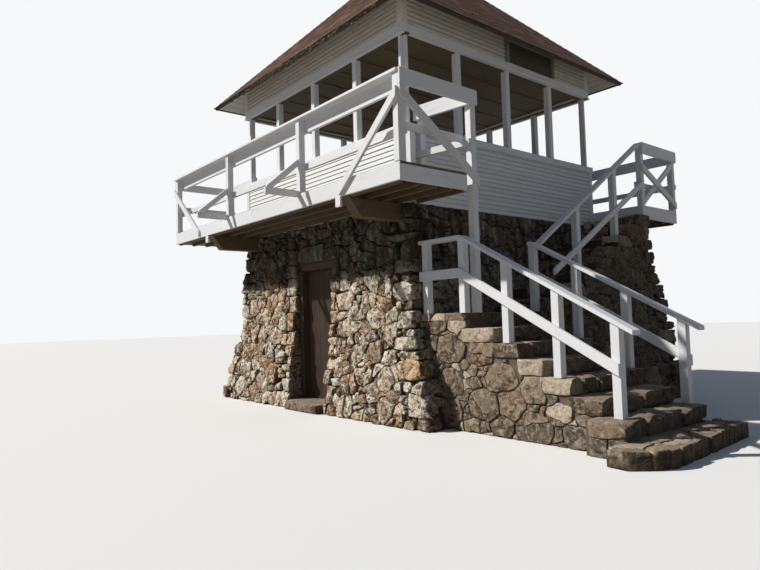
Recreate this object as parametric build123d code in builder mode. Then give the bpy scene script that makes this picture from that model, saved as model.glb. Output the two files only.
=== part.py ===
"""Fire lookout tower: a timber cab with a hip roof on a battered rubble-stone base.

All sizes are in millimetres. The origin is the centre of the tower's base on the ground,
+X runs east along the door wall, +Y runs north and +Z is up.
"""
import os

from build123d import *

# Cab
cab_width = 4267.0
cab_wall = 120.0
floor_level = 3016.0
sill_level = 3800.0
sill_height = 100.0
head_level = 4984.0
head_strip = 50.0
head_board = 180.0
board_proud = 12.0
trim_proud = 25.0
window_post = 90.0
post_setback = 25.0
corner_notch = 45.0
bays_per_side = 4
frieze_thick = 100.0
ceiling_thick = 40.0
panel_width = 1200.0
panel_south = -70.0
panel_height = 460.0
panel_frame = 60.0
panel_proud = 45.0

# Roof
eave_overhang = 433.0
eave_level = 5233.0
roof_slope = 1.02
roof_thick = 90.0

# Stone base
stone_top = 2780.0
stone_wall = 450.0
flare_level = 1200.0
side_flare_mid = 140.0
side_flare_base = 570.0
front_flare_mid = 100.0
front_flare_base = 290.0

# Doorway in the base
door_opening = 1000.0
door_head = 2210.0
base_floor_thick = 130.0
threshold_proud = 80.0
frame_width = 110.0
frame_depth = 150.0
frame_setback = 20.0
leaf_thick = 45.0
leaf_gap = 6.0
hinge_radius = 11.0
hinge_height = 110.0
hinge_seat = 0.3

# Timber sizes
post_size = 90.0
board_thick = 38.0
fascia_height = 210.0
deck_thick = 32.0
joist_thick = 45.0
rail_height = 1015.0
rail_board = 181.0
cap_width = 140.0
mid_rail_height = 88.0
mid_rail_rise = 310.0
beam_width = 160.0
beam_depth = 220.0
beam_bearing = 300.0

# Balcony on the door side
balcony_out = 850.0
balcony_west = 1202.0
balcony_east = 831.0
balcony_north = 200.0
tall_post_offset = 104.0
return_skew = 120.0
beam_end_proud = 90.0
beam_west_inset = 283.5
beam_east_inset = 183.5
hanger_width = 105.0
hanger_drop = 115.0
hanger_gap = 5.0
balcony_post_west = -1190.0
balcony_post_east = 930.0
outrigger_reach = 500.0
outrigger_rise = 430.0

# Stairs
riser_count = 8
upper_riser_count = 9
landing_level = 1360.0
tread = 315.0
first_tread = 418.0
landing_out = 841.5
stair_inset = 78.5
stair_north = -600.0
handrail_height = 910.0
handrail_cap = 45.0
handrail_mid_board = 115.0
mass_top_out = 929.5
mass_base_out = 1306.5
second_step_spread = 150.0
bottom_step_south = 425.0
bottom_step_north = 260.0
bottom_step_depth = 400.0

# Platform at the head of the stairs
platform_reach = 879.5
platform_out = 1153.0

# Levels and lines that follow from the sizes above
cab_half = cab_width / 2
cab_inner = cab_half - cab_wall
room_half = cab_half - stone_wall
bay = cab_width / bays_per_side
ceiling_level = head_level + head_strip
head_top = ceiling_level + head_board
post_outer = cab_half - post_setback
post_inner = post_outer - window_post
trim_outer = cab_half + trim_proud
board_outer = cab_half + board_proud
roof_half = cab_half + eave_overhang
roof_under = eave_level - roof_thick
roof_rise = roof_slope * roof_half
rail_top = floor_level + rail_height
board_bottom = rail_top - rail_board
fascia_bottom = floor_level - fascia_height
deck_bottom = floor_level - deck_thick
mid_rail_level = floor_level + mid_rail_rise
deck_south = -cab_half - balcony_out
deck_north = -cab_half + balcony_north
deck_west = -cab_half - balcony_west
deck_east = cab_half + balcony_east
beam_west_x = -cab_half + beam_west_inset
beam_east_x = cab_half - beam_east_inset
platform_north = cab_half + platform_out
platform_east = cab_half + platform_reach
platform_west = bay + board_thick / 2
landing_edge = cab_half + landing_out
stair_south = -cab_half + stair_inset
stair_mass_top = cab_half + mass_top_out
stair_mass_base = cab_half + mass_base_out
riser = landing_level / riser_count
upper_riser = (floor_level - landing_level) / upper_riser_count
upper_tread = (cab_half - stair_north) / (upper_riser_count - 1)
cabin_door_west = bay + window_post / 2


def block(x0, x1, y0, y1, z0, z1, mode=Mode.ADD):
    """A straight-sided block between two corners."""
    with Locations(((x0 + x1) / 2, (y0 + y1) / 2, (z0 + z1) / 2)):
        Box(x1 - x0, y1 - y0, z1 - z0, mode=mode)


def board_along_x(x0, z0, x1, z1, height, y0, thick):
    """A plumb-cut board from one bottom point to another, standing in a plane of constant y."""
    with BuildSketch(Plane.XZ.offset(-y0)) as outline:
        Polygon((x0, z0), (x1, z1), (x1, z1 + height), (x0, z0 + height), align=None)
    extrude(outline.sketch, amount=-thick)


def board_along_y(y0, z0, y1, z1, height, x0, thick):
    """A plumb-cut board from one bottom point to another, standing in a plane of constant x."""
    with BuildSketch(Plane.YZ.offset(x0)) as outline:
        Polygon((y0, z0), (y1, z1), (y1, z1 + height), (y0, z0 + height), align=None)
    extrude(outline.sketch, amount=thick)


def leg_under_x(x, foot, top_west, top_east, y0):
    """A post whose top is cut to the slope of a cap that runs along X."""
    x0 = x - post_size / 2
    x1 = x + post_size / 2
    with BuildSketch(Plane.XZ.offset(-y0)) as outline:
        Polygon((x0, foot), (x1, foot), (x1, top_east), (x0, top_west), align=None)
    extrude(outline.sketch, amount=-post_size)


def leg_under_y(y, foot, top_south, top_north, x0):
    """A post whose top is cut to the slope of a cap that runs along Y."""
    y0 = y - post_size / 2
    y1 = y + post_size / 2
    with BuildSketch(Plane.YZ.offset(x0)) as outline:
        Polygon((y0, foot), (y1, foot), (y1, top_north), (y0, top_south), align=None)
    extrude(outline.sketch, amount=post_size)


def board_askew(x0, x1, z0, z1):
    """An upright board of the return, which runs a little askew in plan from the wall to the tall post."""
    y0 = return_wall_y + (x0 - cab_half) * return_pitch
    y1 = return_wall_y + (x1 - cab_half) * return_pitch
    with BuildSketch(Plane.XY.offset(z0)) as outline:
        Polygon((x0, y0), (x1, y1), (x1, y1 + board_thick), (x0, y0 + board_thick), align=None)
    extrude(outline.sketch, amount=z1 - z0)


def corner_post(side_x, side_y):
    """A cab corner post with a square notch down its outer edge."""
    middle = (post_inner + post_outer) / 2
    with Locations((side_x * middle, side_y * middle, (sill_level + head_level) / 2)):
        Box(window_post, window_post, head_level - sill_level)
    notch = post_outer - corner_notch / 2
    with Locations((side_x * notch, side_y * notch, (sill_level + head_level) / 2)):
        Box(corner_notch, corner_notch, head_level - sill_level, mode=Mode.SUBTRACT)


def save(builder, name):
    """Name a finished piece and write its file."""
    builder.part.label = name
    export_step(builder.part, f"parts/{name}.step")


os.makedirs("parts", exist_ok=True)

# Stone base: one battered mass, cut into walls round the room
with BuildPart() as tower_mass:
    with BuildSketch(Plane.XY):
        Rectangle(cab_width + 2 * side_flare_base, cab_width + 2 * front_flare_base)
    with BuildSketch(Plane.XY.offset(flare_level)):
        Rectangle(cab_width + 2 * side_flare_mid, cab_width + 2 * front_flare_mid)
    with BuildSketch(Plane.XY.offset(stone_top)):
        Rectangle(cab_width, cab_width)
    loft(ruled=True)

base_reach = cab_half + side_flare_base + 10.0
beam_top = stone_top
beam_bottom = beam_top - beam_depth

# Cantilever beams built into the south wall
with BuildPart() as balcony_beams:
    for beam_x in (beam_west_x, beam_east_x):
        block(beam_x - beam_width / 2, beam_x + beam_width / 2,
              deck_south - beam_end_proud, -cab_half + beam_bearing, beam_bottom, beam_top)

# Beams that carry the platform, built into the north wall and the stair mass
with BuildPart() as platform_beams:
    for beam_x in (platform_west + beam_width, (platform_west + platform_east) / 2, stair_mass_top - 2 * beam_width):
        block(beam_x - beam_width / 2, beam_x + beam_width / 2,
              cab_half - beam_bearing, platform_north - 2 * board_thick, beam_bottom, beam_top)

with BuildPart() as base_wall_south_west:
    add(tower_mass.part)
    block(-base_reach, -door_opening / 2, -base_reach, -room_half, 0, stone_top, mode=Mode.INTERSECT)
    add(balcony_beams.part, mode=Mode.SUBTRACT)

with BuildPart() as base_wall_south_east:
    add(tower_mass.part)
    block(door_opening / 2, base_reach, -base_reach, -room_half, 0, stone_top, mode=Mode.INTERSECT)
    add(balcony_beams.part, mode=Mode.SUBTRACT)

with BuildPart() as base_wall_over_door:
    add(tower_mass.part)
    block(-door_opening / 2, door_opening / 2, -base_reach, -room_half, door_head, stone_top, mode=Mode.INTERSECT)

with BuildPart() as base_wall_north:
    add(tower_mass.part)
    block(-base_reach, base_reach, room_half, base_reach, 0, stone_top, mode=Mode.INTERSECT)
    add(platform_beams.part, mode=Mode.SUBTRACT)

with BuildPart() as base_wall_east:
    add(tower_mass.part)
    block(room_half, base_reach, -room_half, room_half, 0, stone_top, mode=Mode.INTERSECT)

with BuildPart() as base_wall_west:
    add(tower_mass.part)
    block(-base_reach, -room_half, -room_half, room_half, 0, stone_top, mode=Mode.INTERSECT)

# Ground floor slab with the threshold that runs out through the doorway
threshold_front = -cab_half - front_flare_base - threshold_proud
with BuildPart() as base_floor:
    block(-room_half, room_half, -room_half, room_half, 0, base_floor_thick)
    block(-door_opening / 2, door_opening / 2, threshold_front, -room_half, 0, base_floor_thick)

# Timber door frame and the plank door
frame_front = -cab_half + frame_setback
frame_back = frame_front + frame_depth
leaf_half = door_opening / 2 - frame_width - leaf_gap
with BuildPart() as base_door_frame:
    block(-door_opening / 2, door_opening / 2, frame_front, frame_back, base_floor_thick, door_head)
    block(-door_opening / 2 + frame_width, door_opening / 2 - frame_width, frame_front, frame_back,
          base_floor_thick, door_head - frame_width, mode=Mode.SUBTRACT)

hinge_x = -leaf_half - leaf_gap / 2
hinge_y = frame_back + hinge_seat + hinge_radius
with BuildPart() as base_door:
    block(-leaf_half, leaf_half, frame_back - leaf_thick, frame_back,
          base_floor_thick + leaf_gap, door_head - frame_width - leaf_gap)
    for hinge_z in (0.22 * door_head, 0.78 * door_head):
        with Locations((hinge_x, hinge_y, hinge_z)):
            Cylinder(hinge_radius, hinge_height)
        block(hinge_x, hinge_x + 6 * hinge_radius, frame_back, frame_back + hinge_radius / 2,
              hinge_z - hinge_height / 2, hinge_z + hinge_height / 2)

# Lower flight: landing and eight risers down to the east
mass_reach = stair_mass_base + 10.0
with BuildPart() as stair_landing:
    block(cab_half - 50.0, landing_edge, stair_south, stair_north, 0, landing_level)
    add(tower_mass.part, mode=Mode.SUBTRACT)

with BuildPart() as lower_flight:
    nose = landing_edge
    for step in range(1, riser_count - 1):
        run = first_tread if step == 1 else tread
        spread = second_step_spread if step == riser_count - 2 else 0.0
        block(nose, nose + run, stair_south - spread, stair_north, 0, landing_level - step * riser)
        nose = nose + run
    with BuildSketch(Plane.XY):
        Polygon((nose - 0.15 * bottom_step_depth, stair_south - second_step_spread),
                (nose - 0.15 * bottom_step_depth, stair_south - 0.94 * bottom_step_south),
                (nose + 0.4 * bottom_step_depth, stair_south - bottom_step_south),
                (nose + 0.8 * bottom_step_depth, stair_south - 0.55 * bottom_step_south),
                (nose + bottom_step_depth, stair_south - 0.1 * bottom_step_south),
                (nose + 0.9 * bottom_step_depth, (stair_south + stair_north) / 2),
                (nose + 0.75 * bottom_step_depth, stair_north + bottom_step_north),
                (nose, stair_north + bottom_step_north), (nose, stair_south - second_step_spread), align=None)
    extrude(amount=riser)

# Upper flight: a battered stone mass that rises north along the east wall
with BuildPart() as upper_flight:
    with BuildSketch(Plane.XZ.offset(-stair_north)):
        Polygon((cab_half - 50.0, 0), (stair_mass_base, 0), (stair_mass_top, floor_level),
                (cab_half - 50.0, floor_level), align=None)
    extrude(amount=-(cab_half + front_flare_base - stair_north))
    with BuildSketch(Plane.YZ.offset(cab_half - 100.0)):
        with BuildLine():
            corners = [(stair_north, 0), (stair_north, landing_level)]
            for step in range(1, upper_riser_count):
                y = stair_north + (step - 1) * upper_tread
                z = landing_level + step * upper_riser
                corners = corners + [(y, z), (y + upper_tread, z)]
            corners = corners[:-1] + [(cab_half, corners[-1][1])]
            corners = corners + [(cab_half, stone_top), (cab_half + front_flare_mid, flare_level)]
            corners = corners + [(cab_half + front_flare_base, 0), (stair_north, 0)]
            Polyline(*corners)
        make_face()
    extrude(amount=mass_reach - cab_half + 100.0, mode=Mode.INTERSECT)
    add(tower_mass.part, mode=Mode.SUBTRACT)
    block(0, cab_half, -cab_half, cab_half, stone_top, floor_level, mode=Mode.SUBTRACT)
    add(platform_beams.part, mode=Mode.SUBTRACT)

# Handrails of the lower flight
pitch = riser / tread
post_steps = (2, 4, 6)
rail_start = landing_edge - post_size / 2
cap_top = landing_level + handrail_height
near_post_y = stair_south + 5.0
far_post_y = stair_north - 23.0 - post_size


def tread_centre(step):
    """Middle of a tread, counted down from the landing."""
    return landing_edge + first_tread + (step - 1.5) * tread


def cap_level(x):
    """Top of the sloping cap above the stairs."""
    return cap_top - max(0.0, x - rail_start) * pitch


foot_x = tread_centre(post_steps[-1]) + 300.0
landing_post_x = cab_half + 145.0
with BuildPart() as near_handrail:
    for post_x, foot in [(landing_post_x, landing_level), (rail_start - post_size / 2, landing_level)]:
        block(post_x, post_x + post_size, near_post_y, near_post_y + post_size, foot, cap_top - handrail_cap)
    for step in post_steps:
        x = tread_centre(step)
        leg_under_x(x, landing_level - step * riser, cap_level(x - post_size / 2) - handrail_cap,
                    cap_level(x + post_size / 2) - handrail_cap, near_post_y)
    cap_y = near_post_y - (cap_width - post_size) / 2
    board_along_x(landing_post_x - 40.0, cap_top - handrail_cap, rail_start, cap_top - handrail_cap,
                  handrail_cap, cap_y, cap_width)
    board_along_x(rail_start, cap_top - handrail_cap, foot_x, cap_level(foot_x) - handrail_cap,
                  handrail_cap, cap_y, cap_width)
    mid_z = landing_level + 0.45 * handrail_height
    mid_foot = tread_centre(post_steps[-1]) + post_size / 2
    board_along_x(landing_post_x - 20.0, mid_z, rail_start, mid_z, handrail_mid_board,
                  near_post_y - board_thick, board_thick)
    board_along_x(rail_start, mid_z, mid_foot, mid_z - (mid_foot - rail_start) * pitch, handrail_mid_board,
                  near_post_y - board_thick, board_thick)

with BuildPart() as far_handrail:
    block(rail_start - post_size / 2, rail_start + post_size / 2, far_post_y, far_post_y + post_size,
          landing_level, cap_top - handrail_cap)
    for step in post_steps:
        x = tread_centre(step)
        leg_under_x(x, landing_level - step * riser, cap_level(x - post_size / 2) - handrail_cap,
                    cap_level(x + post_size / 2) - handrail_cap, far_post_y)
    cap_y = far_post_y - (cap_width - post_size) / 2
    board_along_x(rail_start - post_size / 2, cap_top - handrail_cap, rail_start, cap_top - handrail_cap,
                  handrail_cap, cap_y, cap_width)
    board_along_x(rail_start, cap_top - handrail_cap, foot_x, cap_level(foot_x) - handrail_cap,
                  handrail_cap, cap_y, cap_width)
    board_along_x(rail_start, mid_z, mid_foot, mid_z - (mid_foot - rail_start) * pitch, handrail_mid_board,
                  far_post_y + post_size, board_thick)

# Handrail of the upper flight, from the landing post up to the platform
upper_post_x = platform_east - post_size
upper_rise = rail_top - cap_top
upper_foot = far_post_y + post_size + (cap_width - post_size) / 2 + 2.0
upper_pitch = upper_rise / (cab_half - upper_foot)
with BuildPart() as upper_handrail:
    for step in (3, 6):
        y = stair_north + (step - 0.4) * upper_tread
        z = landing_level + step * upper_riser
        top = cap_top + (y - upper_foot) * upper_pitch - handrail_cap
        half_rise = upper_pitch * post_size / 2
        leg_under_y(y, z, top - half_rise, top + half_rise, upper_post_x)
    board_along_y(upper_foot, cap_top - handrail_cap, cab_half, rail_top - handrail_cap,
                  handrail_cap, upper_post_x - 10.0, post_size + 20.0)
    board_along_y(upper_foot + 230.0, mid_z + 60.0, cab_half, floor_level + mid_rail_rise, mid_rail_height,
                  platform_east, board_thick)

# Cab floor and lower walls
with BuildPart() as cab_floor:
    block(-cab_inner, cab_inner, -cab_inner, cab_inner, stone_top, floor_level)

wall_top = sill_level - sill_height
with BuildPart() as cab_wall_south:
    block(-cab_inner, cab_inner, -cab_half, -cab_inner, stone_top, wall_top)

with BuildPart() as cab_wall_north:
    block(-cab_inner, cab_inner, cab_inner, cab_half, stone_top, floor_level)
    block(-cab_inner, cabin_door_west, cab_inner, cab_half, floor_level, wall_top)

with BuildPart() as cab_wall_east:
    block(cab_inner, cab_half, -cab_half, cab_half, stone_top, wall_top)

with BuildPart() as cab_wall_west:
    block(-cab_half, -cab_inner, -cab_half, cab_half, stone_top, wall_top)

# Window frames: sill, head, notched corner posts and the posts between the open bays
with BuildPart() as window_frame_south:
    block(-trim_outer, trim_outer, -trim_outer, -cab_inner, wall_top, sill_level)
    block(-trim_outer, trim_outer, -trim_outer, -cab_inner, head_level, ceiling_level)
    block(-board_outer, board_outer, -board_outer, -cab_inner, ceiling_level, head_top)
    for side in (-1, 1):
        corner_post(side, -1)
    for line in range(1, bays_per_side):
        x = -cab_half + line * bay
        block(x - window_post / 2, x + window_post / 2, -post_outer, -post_inner, sill_level, head_level)

with BuildPart() as window_frame_north:
    block(-trim_outer, cabin_door_west, cab_inner, trim_outer, wall_top, sill_level)
    block(cab_inner, trim_outer, cab_inner, trim_outer, wall_top, sill_level)
    block(-trim_outer, trim_outer, cab_inner, trim_outer, head_level, ceiling_level)
    block(-board_outer, board_outer, cab_inner, board_outer, ceiling_level, head_top)
    for side in (-1, 1):
        corner_post(side, 1)
    for line in range(1, bays_per_side):
        x = -cab_half + line * bay
        block(x - window_post / 2, x + window_post / 2, post_inner, post_outer, sill_level, head_level)

with BuildPart() as window_frame_east:
    block(cab_inner, trim_outer, -cab_inner, cab_inner, wall_top, sill_level)
    block(cab_inner, trim_outer, -cab_inner, cab_inner, head_level, ceiling_level)
    block(cab_inner, board_outer, -cab_inner, cab_inner, ceiling_level, head_top)
    for line in range(1, bays_per_side):
        y = -cab_half + line * bay
        block(post_inner, post_outer, y - window_post / 2, y + window_post / 2, sill_level, head_level)

with BuildPart() as window_frame_west:
    add(window_frame_east.part, rotation=(0, 0, 180))

# Friezes between the window heads and the roof, cut to the slope
with BuildPart() as under_roof:
    with BuildSketch(Plane.XY.offset(roof_under)):
        Rectangle(2 * roof_half, 2 * roof_half)
    with BuildSketch(Plane.XY.offset(roof_under + roof_rise / 2)):
        Rectangle(roof_half, roof_half)
    loft(ruled=True)
    block(-roof_half, roof_half, -roof_half, roof_half, head_level, roof_under)

frieze_limit = roof_under + roof_slope * (eave_overhang + frieze_thick)
frieze_inner = cab_half - frieze_thick
with BuildPart() as frieze_south:
    block(-frieze_inner, frieze_inner, -cab_half, -frieze_inner, head_top, frieze_limit)
    add(under_roof.part, mode=Mode.INTERSECT)

with BuildPart() as frieze_north:
    add(frieze_south.part, rotation=(0, 0, 180))

with BuildPart() as frieze_east:
    block(frieze_inner, cab_half, -cab_half, cab_half, head_top, frieze_limit)
    add(under_roof.part, mode=Mode.INTERSECT)

with BuildPart() as frieze_west:
    add(frieze_east.part, rotation=(0, 0, 180))

with BuildPart() as cab_ceiling:
    block(-cab_inner, cab_inner, -cab_inner, cab_inner, ceiling_level, ceiling_level + ceiling_thick)

# Blank framed panel on the east frieze
with BuildPart() as frieze_panel:
    for x0, z0 in ((board_outer, ceiling_level), (cab_half, head_top)):
        block(x0, cab_half + panel_proud, panel_south, panel_south + panel_width, z0, ceiling_level + panel_height)
    block(cab_half + panel_proud / 3, cab_half + panel_proud, panel_south + panel_frame,
          panel_south + panel_width - panel_frame, ceiling_level + panel_frame,
          ceiling_level + panel_height - panel_frame, mode=Mode.SUBTRACT)

# Hip roof: four mitred slopes round a hollow loft
with BuildPart() as roof_south:
    with BuildSketch(Plane.YZ):
        Polygon((-roof_half, roof_under), (0, roof_under + roof_rise),
                (0, eave_level + roof_rise), (-roof_half, eave_level), align=None)
    extrude(amount=roof_half, both=True)
    with BuildSketch(Plane.XY.offset(roof_under)):
        Polygon((-roof_half, -roof_half), (roof_half, -roof_half), (0, 0), align=None)
    extrude(amount=roof_thick + roof_rise, mode=Mode.INTERSECT)

with BuildPart() as roof_east:
    add(roof_south.part, rotation=(0, 0, 90))

with BuildPart() as roof_north:
    add(roof_south.part, rotation=(0, 0, 180))

with BuildPart() as roof_west:
    add(roof_south.part, rotation=(0, 0, 270))

# Balcony deck on joists
inner_west = deck_west + board_thick
inner_east = deck_east - board_thick
inner_south = deck_south + board_thick
with BuildPart() as balcony_deck:
    block(inner_west, inner_east, inner_south, -cab_half, deck_bottom, floor_level)
    block(inner_west, -cab_half, -cab_half, deck_north, deck_bottom, floor_level)
    block(cab_half, inner_east, -cab_half, deck_north, deck_bottom, floor_level)
    for line in range(4):
        y = inner_south + line * (balcony_out - board_thick - joist_thick) / 3
        block(inner_west, inner_east, y, y + joist_thick, stone_top, deck_bottom)
    for x0, x1 in ((inner_west, -cab_half), (cab_half, inner_east)):
        block(x0, x1, deck_north - joist_thick, deck_north, stone_top, deck_bottom)

with BuildPart() as balcony_fascia:
    block(deck_west, deck_east, deck_south, inner_south, fascia_bottom, floor_level)
    block(deck_west, inner_west, inner_south, deck_north, fascia_bottom, floor_level)
    block(inner_east, deck_east, inner_south, deck_north, fascia_bottom, floor_level)
    for beam_x in (beam_west_x, beam_east_x):
        x = beam_x - beam_width / 2 - hanger_gap
        block(x - hanger_width, x, deck_south, inner_south, fascia_bottom - hanger_drop, floor_level)

# South railing: four posts, a flat cap, a deep board under it and a middle rail
post_xs = (deck_west + post_size / 2, balcony_post_west, balcony_post_east, deck_east - post_size / 2)
cap_bottom = rail_top - board_thick
with BuildPart() as balcony_rail_south:
    for x in post_xs:
        block(x - post_size / 2, x + post_size / 2, deck_south, deck_south + post_size, floor_level, cap_bottom)
    block(deck_west - trim_proud, deck_east, deck_south - trim_proud, deck_south - trim_proud + cap_width,
          cap_bottom, rail_top)
    inside = deck_south + post_size
    block(deck_west, deck_east, inside, inside + board_thick, cap_bottom - 173.0, cap_bottom)
    block(deck_west, deck_east, inside, inside + board_thick, mid_rail_level, mid_rail_level + mid_rail_height)

# East end: tall post from the landing and deep top board
tall_post_y = deck_north + tall_post_offset
tall_post_end = tall_post_y + post_size
east_mid = mid_rail_level + 80.0
inner_board_x = deck_east - post_size - board_thick
with BuildPart() as balcony_rail_east:
    block(deck_east - post_size, deck_east, tall_post_y, tall_post_end, landing_level, rail_top - 5.0)
    block(deck_east, deck_east + board_thick, deck_south, tall_post_end, board_bottom, rail_top)

# Return from the tall post to the cab wall, its boards set a little askew, and the middle rail that meets it
return_wall_y = tall_post_y - return_skew - board_thick
return_pitch = return_skew / (deck_east - cab_half)
with BuildPart() as balcony_return_east:
    board_askew(cab_half, deck_east, board_bottom, rail_top)
    board_askew(cab_half, deck_east, mid_rail_level + 30.0, mid_rail_level + 30.0 + mid_rail_height)
    block(inner_board_x, inner_board_x + board_thick, inside + board_thick, tall_post_y - board_thick,
          east_mid, east_mid + mid_rail_height)
    for x0, z1 in ((cab_half, wall_top), (trim_outer, rail_top)):
        block(x0, cab_half + post_size, return_wall_y + board_thick, return_wall_y + board_thick + post_size,
              floor_level, z1)
    block(cab_half, cab_half + post_size, -cab_half, -cab_half + post_size, floor_level, wall_top)

# West end: the same without the tall post
west_top = rail_top - 68.0
with BuildPart() as balcony_rail_west:
    block(deck_west, deck_west + post_size, deck_north, deck_north + post_size, stone_top, west_top)
    block(deck_west - board_thick, deck_west, deck_south, deck_north + post_size, west_top - 133.0, west_top)
    block(deck_west + post_size, deck_west + post_size + board_thick, inside + board_thick,
          deck_north + post_size, mid_rail_level + 80.0, mid_rail_level + 80.0 + mid_rail_height)
    block(deck_west, -cab_half, deck_north - board_thick, deck_north, west_top - 133.0, west_top)

# Outriggers and knee braces of the two middle posts
with BuildPart() as balcony_outriggers:
    for x in post_xs[1:3]:
        block(x - board_thick / 2, x + board_thick / 2, deck_south - outrigger_reach, deck_south,
              floor_level - 60.0, floor_level + 30.0)
        board_along_y(deck_south - outrigger_reach + 20.0, floor_level - 50.0, deck_south,
                      floor_level + outrigger_rise - 70.0, 100.0, x - board_thick / 2, board_thick)

# Diagonal braces outside the railings
brace_run = 1080.0
brace_rise = 900.0
brace_foot = fascia_bottom + 5.0
with BuildPart() as balcony_braces:
    board_along_x(deck_west, brace_foot + brace_rise, deck_west + brace_run, brace_foot, 120.0,
                  deck_south - board_thick, board_thick)
    board_along_x(deck_east - brace_run, brace_foot, deck_east, brace_foot + brace_rise, 120.0,
                  deck_south - board_thick, board_thick)
    board_along_y(deck_south, board_bottom - 120.0, tall_post_end, fascia_bottom + 60.0, 120.0,
                  deck_east, board_thick)

# Platform at the head of the stairs
plat_in_w = platform_west + board_thick
plat_in_e = platform_east - board_thick
plat_in_n = platform_north - board_thick
with BuildPart() as platform_deck:
    block(plat_in_w, cab_half, cab_half, plat_in_n, deck_bottom, floor_level)
    block(cab_half, plat_in_e, cab_half + board_thick, plat_in_n, deck_bottom, floor_level)
    for line in range(4):
        y = cab_half + board_thick + line * (platform_out - 2 * board_thick - joist_thick) / 3
        block(plat_in_w, plat_in_e, y, y + joist_thick, stone_top, deck_bottom)

with BuildPart() as platform_fascia:
    block(cab_half, platform_east, cab_half, cab_half + board_thick, fascia_bottom, floor_level)
    block(plat_in_e, platform_east, cab_half + board_thick, platform_north, fascia_bottom, floor_level)
    block(platform_west, plat_in_e, plat_in_n, platform_north, fascia_bottom, floor_level)
    block(platform_west, plat_in_w, cab_half, plat_in_n, fascia_bottom, floor_level)

# East side of the platform: two posts, deep top board, middle rail and crossed braces
with BuildPart() as platform_rail_east:
    for y in (cab_half, platform_north - post_size):
        block(platform_east - post_size, platform_east, y, y + post_size, floor_level, rail_top - 5.0)
    block(platform_east, platform_east + board_thick, cab_half, platform_north, board_bottom, rail_top)
    x = platform_east - post_size - board_thick
    block(x, x + board_thick, cab_half, platform_north, mid_rail_level, mid_rail_level + mid_rail_height)
    board_along_y(cab_half, floor_level + 560.0, platform_north - post_size / 2, floor_level + 30.0, 110.0,
                  platform_east, board_thick)
    board_along_y(cab_half + post_size, floor_level + 20.0, platform_north - post_size / 2, floor_level + 750.0,
                  110.0, platform_east - board_thick, board_thick)

# North side of the platform and its plain return at the hidden west end
with BuildPart() as platform_rail_north:
    block(platform_west, platform_west + post_size, platform_north - post_size, platform_north,
          floor_level, rail_top - 5.0)
    block(platform_west, platform_east, platform_north, platform_north + board_thick, board_bottom, rail_top)
    block(platform_west, platform_east, platform_north, platform_north + board_thick,
          mid_rail_level + 70.0, mid_rail_level + 70.0 + mid_rail_height)
    for level, height in ((board_bottom, rail_board), (mid_rail_level + 70.0, mid_rail_height)):
        block(platform_west - board_thick, platform_west, cab_half, platform_north + board_thick,
              level, level + height)

save(base_wall_south_west, "base_wall_south_west")
save(base_wall_south_east, "base_wall_south_east")
save(base_wall_over_door, "base_wall_over_door")
save(base_wall_east, "base_wall_east")
save(base_wall_north, "base_wall_north")
save(base_wall_west, "base_wall_west")
save(base_floor, "base_floor")
save(base_door_frame, "base_door_frame")
save(base_door, "base_door")
save(stair_landing, "stair_landing")
save(lower_flight, "lower_flight")
save(upper_flight, "upper_flight")
save(near_handrail, "near_handrail")
save(far_handrail, "far_handrail")
save(upper_handrail, "upper_handrail")
save(cab_floor, "cab_floor")
save(cab_wall_south, "cab_wall_south")
save(cab_wall_east, "cab_wall_east")
save(cab_wall_north, "cab_wall_north")
save(cab_wall_west, "cab_wall_west")
save(window_frame_south, "window_frame_south")
save(window_frame_east, "window_frame_east")
save(window_frame_north, "window_frame_north")
save(window_frame_west, "window_frame_west")
save(frieze_south, "frieze_south")
save(frieze_east, "frieze_east")
save(frieze_north, "frieze_north")
save(frieze_west, "frieze_west")
save(frieze_panel, "frieze_panel")
save(cab_ceiling, "cab_ceiling")
save(roof_south, "roof_south")
save(roof_east, "roof_east")
save(roof_north, "roof_north")
save(roof_west, "roof_west")
save(balcony_beams, "balcony_beams")
save(balcony_deck, "balcony_deck")
save(balcony_fascia, "balcony_fascia")
save(balcony_rail_south, "balcony_rail_south")
save(balcony_rail_east, "balcony_rail_east")
save(balcony_return_east, "balcony_return_east")
save(balcony_rail_west, "balcony_rail_west")
save(balcony_outriggers, "balcony_outriggers")
save(balcony_braces, "balcony_braces")
save(platform_beams, "platform_beams")
save(platform_deck, "platform_deck")
save(platform_fascia, "platform_fascia")
save(platform_rail_east, "platform_rail_east")
save(platform_rail_north, "platform_rail_north")
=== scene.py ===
"""Fire lookout tower: rubble stone, painted timber, lap siding, shingles and weathered boards.

Lengths are in metres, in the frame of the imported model: +X east along the door wall, +Y north, +Z up.
"""
import math
import random

import bpy
import numpy as np
from mathutils import Matrix, Vector, noise


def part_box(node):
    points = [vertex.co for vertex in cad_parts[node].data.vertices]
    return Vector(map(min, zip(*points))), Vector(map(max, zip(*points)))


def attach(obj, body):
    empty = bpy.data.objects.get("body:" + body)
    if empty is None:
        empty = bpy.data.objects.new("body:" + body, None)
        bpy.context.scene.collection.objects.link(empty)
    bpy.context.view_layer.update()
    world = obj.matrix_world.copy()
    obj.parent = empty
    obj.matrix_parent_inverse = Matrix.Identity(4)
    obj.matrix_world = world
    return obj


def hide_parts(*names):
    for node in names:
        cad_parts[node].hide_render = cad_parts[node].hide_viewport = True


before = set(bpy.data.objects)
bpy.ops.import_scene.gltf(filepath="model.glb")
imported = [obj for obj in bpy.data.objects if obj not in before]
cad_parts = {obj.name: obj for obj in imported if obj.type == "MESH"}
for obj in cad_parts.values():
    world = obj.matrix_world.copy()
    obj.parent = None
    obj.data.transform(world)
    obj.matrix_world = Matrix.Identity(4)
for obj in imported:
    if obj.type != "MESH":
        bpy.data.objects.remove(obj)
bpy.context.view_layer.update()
rng = random.Random(1847)
noise.seed_set(1847)

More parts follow.
